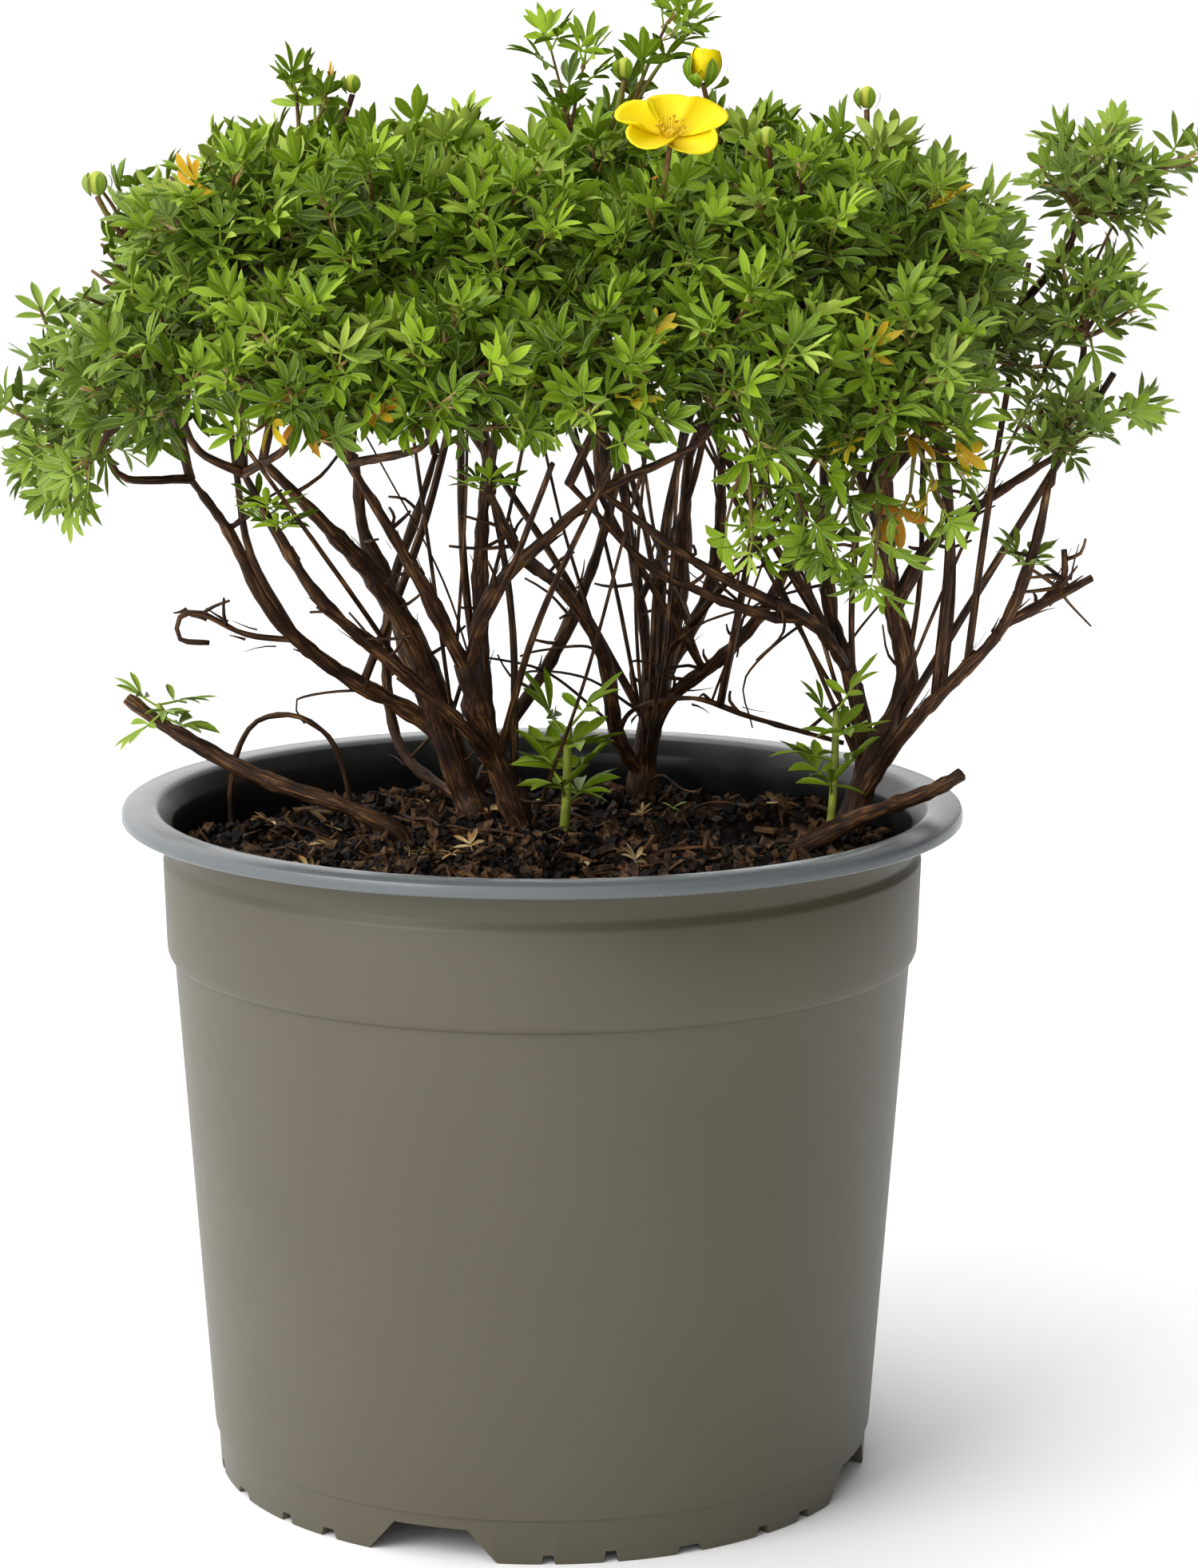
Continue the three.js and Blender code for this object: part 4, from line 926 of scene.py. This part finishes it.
draw = seeded(1976)
kinds = [leaf_kind(draw) for _ in range(LEAF_KINDS)]
shoot_routes = []
stipule_spots = []
for name, own in sites.items():
    bm, uv, tone_layer = leaf_mesh()
    planes = cell_planes(own)
    centre, reach, along = own["centre"], own["reach"], own["along"]
    count = next(number for over, number in SHOOT_COUNTS if reach > over)
    if centre.x < OUTER_LEFT:
        count -= 2
    leaf_size = next(size for over, size in LEAF_SIZES if reach > over)
    for out in even_directions(3 * count):
        if out.dot(along) < -0.35:
            continue
        limit = 0.78 * reach
        for toward, share in planes:
            if out.dot(toward) > 0.05:
                limit = min(limit, share / out.dot(toward))
        if limit < 0.25 * reach:
            continue
        limit *= draw(0.82, 1.04)
        tip = centre + out * (limit - 2)
        start = own["foot"] + along * draw(0.15, 0.5) * reach
        bend = Vector((draw(-3, 3), draw(-3, 3), draw(-2, 3)))
        # Painted shade: a shoot that points down from its spray's centre gets a lower tone and darker green
        # leaves. One that points up gets a higher, lighter tone. The rest of its tone is random.
        shoot_tone_and_shade = 0.34 + 0.16 * out.z + draw(-0.16, 0.16)
        route = leafy_shoot(bm, tone_layer, start, tip, bend, SHOOT_LEAF_GAP, leaf_size, shoot_tone_and_shade, draw)
        shoot_routes.append((route, tapered(len(route), 0.75, 0.4)))
    sides = [(Vector(at), far) for parent, at, far in SIDE_SHOOTS + LOW_SHOOTS if parent == name]
    for side_centre, side_reach in sides:
        heading = (side_centre - centre).normalized()
        start = centre.lerp(side_centre, 0.6)
        leaf_size = 0.85 + 0.012 * side_reach
        for out in [heading] + list(even_directions(2)):
            if out.dot(heading) < -0.2:
                continue
            tip = side_centre + out * 0.6 * side_reach
            bend = Vector((0, 0, 1))
            route = leafy_shoot(bm, tone_layer, start, tip, bend, SIDE_LEAF_GAP, leaf_size, 0.4, draw)
            shoot_routes.append((route, tapered(len(route), 0.7, 0.4)))
    spray = place_mesh(bm, "leaves_" + name, leaf_green)
    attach(spray, "root")
    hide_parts("spray_" + name)
shoots = place_mesh(tubes("young_shoots", shoot_routes, 4), "young_shoots", young_stem)
bm = bmesh.new()
for at, along, side, long in stipule_spots:
    scale = bmesh.ops.create_grid(bm, x_segments=2, y_segments=1, size=1)["verts"]
    for vert in scale:
        share = (vert.co.x + 1) / 2
        spread = side.cross(along) * vert.co.y * 0.8 * (1 - 0.9 * share)
        vert.co = (at + side * (0.5 + 0.8 * share ** 2) + along * long * share + spread) * MM
stipules = place_mesh(bm, "papery_stipules", dry_paper)
for piece, slot in ((shoots, "bark"), (stipules, "leaf")):
    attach(piece, "root")


# Green sprouts: young shoots from the root crowns, and the tuft that still grows on the cut branch.
# Each has its foot and tip, its stem's radius, the size of its leaves, their number and how far they droop.
LONG_SPROUT = 20
SPROUTS = [
    ("sprout_front", (5, 18, 160), (7, 14, 200), 1.7, 1.25, 9, 0),
    ("sprout_right", (77, 7, 163), (79, 5, 206), 1.3, 1.1, 8, 0),
    ("tuft_on_cut_branch", (-103, 17.5, 202), (-104.5, 16, 206), 1.1, 0.9, 6, 0.9),
]
TUFT_LEAVES = 5
SEED_LEAVES = 5
SPRIGS = [(-18, -22, 272), (-60, -30, 266), (-79, -24, 253), (132, -14, 247)]
SEEDLINGS = [(37, 60, 169), (43.6, 40, 168), (-37.6, -8, 167), (-4, 70, 168)]

# Sappy stem of a shoot in its first weeks: pale yellowish green with a faint sheen
sappy_stem, tree, shader = new_finish("sappy_green_stem", Roughness=0.42, IOR=1.42)
paint(tree, shader, ramp(tree, mottled(tree, 120.0, 2.0), [(0.35, "#6f7a26"), (0.6, "#9aa544")]))

draw = seeded(88)
for name, start, end, radius, leaf_size, count, droop in SPROUTS:
    bm, uv, tone_layer = leaf_mesh()
    start, end = Vector(start), Vector(end)
    stem_route = smooth_route([start, (start + end) / 2 + Vector((0.6, -0.4, 0)), end], 2)
    leafy_part = 0.62 if (end - start).length > LONG_SPROUT else 1
    for k in range(count):
        turn = 2.4 * k + 0.4
        low = start.lerp(end, 1 - leafy_part * k / count)
        axis = Vector((math.cos(turn), math.sin(turn), draw(0.2, 0.9) + 0.8 * (k < 2) - droop)).normalized()
        up = Vector((-0.5 * axis.x, -0.5 * axis.y, 1))
        add_leaf(bm, tone_layer, kinds[k], low, axis, up, leaf_size * draw(0.8, 1.15), draw(0.5, 0.8))
    green = place_mesh(bm, name + "_leaves", leaf_green)
    routes = [(stem_route, tapered(len(stem_route), radius, 0.7 * radius))]
    stems = place_mesh(tubes(name + "_stems", routes, 8), name + "_stems", sappy_stem)
    for piece in (green, stems):
        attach(piece, "root")
    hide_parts(name)

# Small tufts on the bare stems, and seedlings with their first leaves on the compost
bm, uv, tone_layer = leaf_mesh()
for at in SPRIGS:
    tuft_at = min((p for route in stem_routes for p in route), key=lambda p: (p - Vector(at)).length)
    for k in range(TUFT_LEAVES):
        axis = Vector((math.cos(2.4 * k), math.sin(2.4 * k), draw(0.3, 1.1))).normalized()
        add_leaf(bm, tone_layer, kinds[k], tuft_at, axis, Vector((0, 0, 1)), draw(0.6, 0.9), draw(0.5, 0.75))
for x, y, z in SEEDLINGS:
    for k in range(SEED_LEAVES):
        seed_leaf = add_leaflet(bm, uv, draw(3.2, 4.4), draw(2.2, 3.0), 0.1, 0.1, 0)
        foot = Matrix.Translation(Vector((x + 2.2 * (k // 2), y, z - 1.2 * (k // 2))) * MM)
        move(bm, seed_leaf, foot, IN_METRES, turned(3.0 * k + 0.4 * (k // 2)), turned(-0.5, "Y"))
        for vert in seed_leaf:
            vert[tone_layer] = 0.7
tufts = place_mesh(bm, "stem_tufts_and_seedlings", leaf_green)
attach(tufts, "root")

# Litter on the compost: wiry rootlets and dead twigs that lie across it, and dry fallen leaves
ROOTLETS = 120
ROOTLET_BENDS = [(-1, 0.2), (-0.3, 1), (0.4, 0.8), (1, 0.1)]
FALLEN_LEAVES = 26


def spot_on_soil(far):
    """A place in the plan, drawn evenly over the compost within a radius."""
    turn, out = draw(0, 6.28), far * math.sqrt(draw())
    return Vector((out * math.cos(turn), out * math.sin(turn), 0))


litter = []
for _ in range(ROOTLETS):
    middle = spot_on_soil(88)
    heading = Vector((draw(-1, 1), draw(-1, 1), 0)).normalized() * draw(4, 16)
    spots = [middle + heading * along + Vector((draw(-2, 2), draw(-2, 2), 0)) for along, up in ROOTLET_BENDS]
    if all(p.length < INSIDE_POT for p in spots):
        lift = draw(0.6, 3.4)
        points = [Vector((p.x, p.y, soil_height(p.x, p.y) + lift * up))
                  for p, (along, up) in zip(spots, ROOTLET_BENDS)]
        thick = draw(0.2, 0.65)
        route = smooth_route(points, 2)
        litter.append((route, [thick] * len(route)))
rootlets = place_mesh(tubes("rootlets", litter, 4), "rootlets", bark)
bm, uv, tone_layer = leaf_mesh()
for k in range(FALLEN_LEAVES):
    at = spot_on_soil(86)
    at.z = soil_height(at.x, at.y) + 2.2
    axis = Vector((draw(-1, 1), draw(-1, 1), draw(-0.1, 0.4))).normalized()
    up = Vector((draw(-0.5, 0.5), draw(-0.5, 0.5), 1))
    add_leaf(bm, tone_layer, kinds[k % LEAF_KINDS], at, axis, up, draw(0.35, 0.7), 0.5)
fallen = place_mesh(bm, "fallen_leaves", dry_paper)
for piece, slot in ((rootlets, "bark"), (fallen, "bark_compost")):
    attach(piece, "root")


# Open flower: five broad silky petals that overlap in a shallow bowl, round a ring of yellow stamens.
# The petals are thin and clear yellow, deeper towards the middle.
FLOWER_FACING = (0.02, -0.52, 0.85)
FLOWER_RADIUS = 14.7
PETALS = 5
flower_turn = Vector(FLOWER_FACING).normalized().to_track_quat("Z", "Y").to_matrix().to_4x4()
flower_place = IN_METRES @ Matrix.Translation(FLOWER_AT) @ flower_turn

petal_skin, tree, shader = new_finish("silky_yellow_petal", Roughness=0.5, IOR=1.4, Specular_IOR_Level=0.25)
place = node(tree, "ShaderNodeUVMap", uv_map="blade").outputs["UV"]
petal_axes = node(tree, "ShaderNodeSeparateXYZ", {"Vector": place})
veins = node(tree, "ShaderNodeMapping", {"Vector": place, "Scale": (26.0, 1.5, 1.0)}).outputs["Vector"]
yellows = [(0.0, "#c9a400"), (0.3, "#dcc003"), (1.0, "#e2cb05")]
paint(tree, shader, ramp(tree, petal_axes.outputs["Y"], yellows))
emboss(tree, shader, mottled(tree, 1.0, 2.0, veins), 0.3, 0.0004)


def add_petal(bm, uv, length, spread, cup, wave, lift):
    """One broad round petal along +X from its narrow claw, cupped and a little waved at its edge."""
    grid, spots = flat_blade(bm, uv, 12, 10, lambda across: 0.5 + 0.5 * across)
    for vert, (along, across) in spots:
        fan = spread * across
        out = length * along * math.cos(1.15 * fan)
        vert.co.x = out * math.cos(fan)
        vert.co.y = out * math.sin(fan)
        edge = along * abs(across) ** 2 + along ** 4
        vert.co.z = cup * length * along ** 1.6 + 0.03 * vert.co.y ** 2 + lift
        vert.co.z += wave * edge * math.sin(5 * across + 3 * along)
    return grid


draw = seeded(57)
bm = bmesh.new()
uv = bm.loops.layers.uv.new("blade")
for k in range(PETALS):
    petal = add_petal(bm, uv, FLOWER_RADIUS * draw(0.96, 1.04), draw(0.72, 0.8), draw(0.22, 0.3),
                      draw(0.15, 0.35), 0.25 * (k % 3))
    turn = turned(math.pi / 2 + 2 * math.pi * k / PETALS) @ turned(0.06, "X")
    move(bm, petal, flower_place, turn)
petals = place_mesh(bm, "open_flower_petals", petal_skin)
thicken = petals.modifiers.new("petal_thickness", "SOLIDIFY")
thicken.thickness = 0.25 * MM
thicken.offset = 0
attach(petals, "root")
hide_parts("flower_petals")

# Stamens: short threads with yellow anthers, round a small dome of styles
stamen_skin, tree, shader = new_finish("golden_anther", Roughness=0.7, IOR=1.4)
paint(tree, shader, ramp(tree, mottled(tree, 700.0, 2.0), [(0.35, "#b8940a"), (0.6, "#dcc020")]))
STAMENS = 34


def raised(height):
    """A shift along the axis of a flower or bud."""
    return Matrix.Translation((0, 0, height))


bm = bmesh.new()
for k in range(STAMENS):
    turn = 2.4 * k
    lean = draw(0.2, 0.8)
    long = draw(2.4, 4.0)
    heading = Vector((math.cos(turn) * lean, math.sin(turn) * lean, 1)).normalized()
    thread = bmesh.ops.create_cone(bm, cap_ends=False, segments=4, radius1=0.1, radius2=0.08,
                                   depth=long)["verts"]
    stand = heading.to_track_quat("Z", "Y").to_matrix().to_4x4()
    shift = Matrix.Translation(Vector((math.cos(turn), math.sin(turn), 0)) * 1.6) @ stand
    move(bm, thread, flower_place, shift, raised(long / 2 + 0.4))
    anther = bmesh.ops.create_icosphere(bm, subdivisions=1, radius=0.32)["verts"]
    move(bm, anther, flower_place, shift, raised(long + 0.5), Matrix.Diagonal((1, 1, 1.5, 1)))
dome = bmesh.ops.create_uvsphere(bm, u_segments=16, v_segments=8, radius=1.5)["verts"]
move(bm, dome, flower_place, raised(0.6))
stamens = place_mesh(bm, "stamens", stamen_skin)
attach(stamens, "root")


# Buds: the half-open one beside the flower shows folded petals, the others are closed in their green sepals.
# Each sits on a thin stalk that rises out of the leaves.
OPEN_BUD = ((41, -22, 373), 4.3, 9)
FOLDED_PETALS = 7
SEPALS = 5
CLOSED_BUDS = [
    ((-115, -14, 344), 3.2, 7), ((21, -22, 374), 2.6, 6), ((56, -52, 358), 2.6, 5.5),
    ((84, -8, 366), 2.8, 6.5), ((-49, -10, 370), 2.6, 5.5), ((-114, -40, 300), 2.2, 5),
]


def add_sepals(bm, uv, tone_layer, place, radius, height, tone, open_by):
    """Five pointed green sepals that hold a bud from below."""
    for k in range(SEPALS):
        sepal = add_leaflet(bm, uv, height, radius * 0.85, 0.3, 0.0, 0)
        for vert in sepal:
            share = vert.co.x / height
            out = radius * math.sin(math.pi * min(1, 0.12 + 0.75 * share)) ** 0.7 + open_by * share
            vert.co = Vector((out + 0.25, vert.co.y, vert.co.x * 0.9))
            vert[tone_layer] = tone
        move(bm, sepal, place, turned(2 * math.pi * k / SEPALS))


bm = bmesh.new()
uv = bm.loops.layers.uv.new("blade")
at, radius, height = OPEN_BUD
bud_place = IN_METRES @ Matrix.Translation(at) @ turned(0.12, "Y")
for k in range(FOLDED_PETALS):
    petal = add_petal(bm, uv, height, 0.75, 0.0, 0.3, 0)
    for vert in petal:
        share = vert.co.x / height
        out = radius * (0.3 + 0.7 * math.sin(math.pi * min(1, 0.1 + 0.7 * share))) - 0.4 * (k % 3)
        side = 1.15 * vert.co.y / radius
        vert.co = Vector((out * math.cos(side), out * math.sin(side), vert.co.x))
    move(bm, petal, bud_place, turned(2 * math.pi * k / FOLDED_PETALS))
heart = bmesh.ops.create_uvsphere(bm, u_segments=12, v_segments=8, radius=radius * 0.7)["verts"]
move(bm, heart, bud_place, raised(height * 0.5))
half_open = place_mesh(bm, "half_open_bud_petals", petal_skin)
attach(half_open, "root")
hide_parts("half_open_bud")

bm, uv, tone_layer = leaf_mesh()
add_sepals(bm, uv, tone_layer, bud_place @ raised(-1.2), radius, height, 0.45, 2.2)
add_sepals(bm, uv, tone_layer, bud_place @ raised(-1.4) @ turned(0.6), radius, height * 0.5, 0.55, 4)
add_sepals(bm, uv, tone_layer, flower_place @ raised(-3.2), 3.0, 4, 0.6, 3.5)
yellow_tips, _, tip_tone = leaf_mesh()
stalks = []
for at, radius, height in CLOSED_BUDS:
    place = IN_METRES @ Matrix.Translation(at)
    add_sepals(bm, uv, tone_layer, place, radius, height, 0.5, 0.8)
    ball = bmesh.ops.create_uvsphere(yellow_tips, u_segments=12, v_segments=8, radius=radius * 0.85)["verts"]
    squash = Matrix.Diagonal((1, 1, height / radius / 1.9, 1))
    move(yellow_tips, ball, place, raised(height * 0.5), squash)
    for vert in ball:
        vert[tip_tone] = 0.89
for at, depth in [(b[0], 15) for b in CLOSED_BUDS] + [(OPEN_BUD[0], 18), (FLOWER_AT, 20)]:
    top = Vector(at)
    nearest = min(sites.values(), key=lambda own: (own["centre"] - top).length)
    foot = top.lerp(nearest["centre"], min(1, depth / (nearest["centre"] - top).length))
    route = smooth_route([foot, top.lerp(foot, 0.4) + Vector((0, 0, -1)), top], 2)
    stalks.append((route, [0.75] * len(route)))
sepals = place_mesh(bm, "bud_sepals", leaf_green)
tips = place_mesh(yellow_tips, "closed_bud_tips", leaf_green)
bud_stalks = place_mesh(tubes("bud_stalks", stalks, 8), "bud_stalks", young_stem)
for piece, slot in ((sepals, "leaf"), (tips, "petal"), (bud_stalks, "bark")):
    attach(piece, "root")
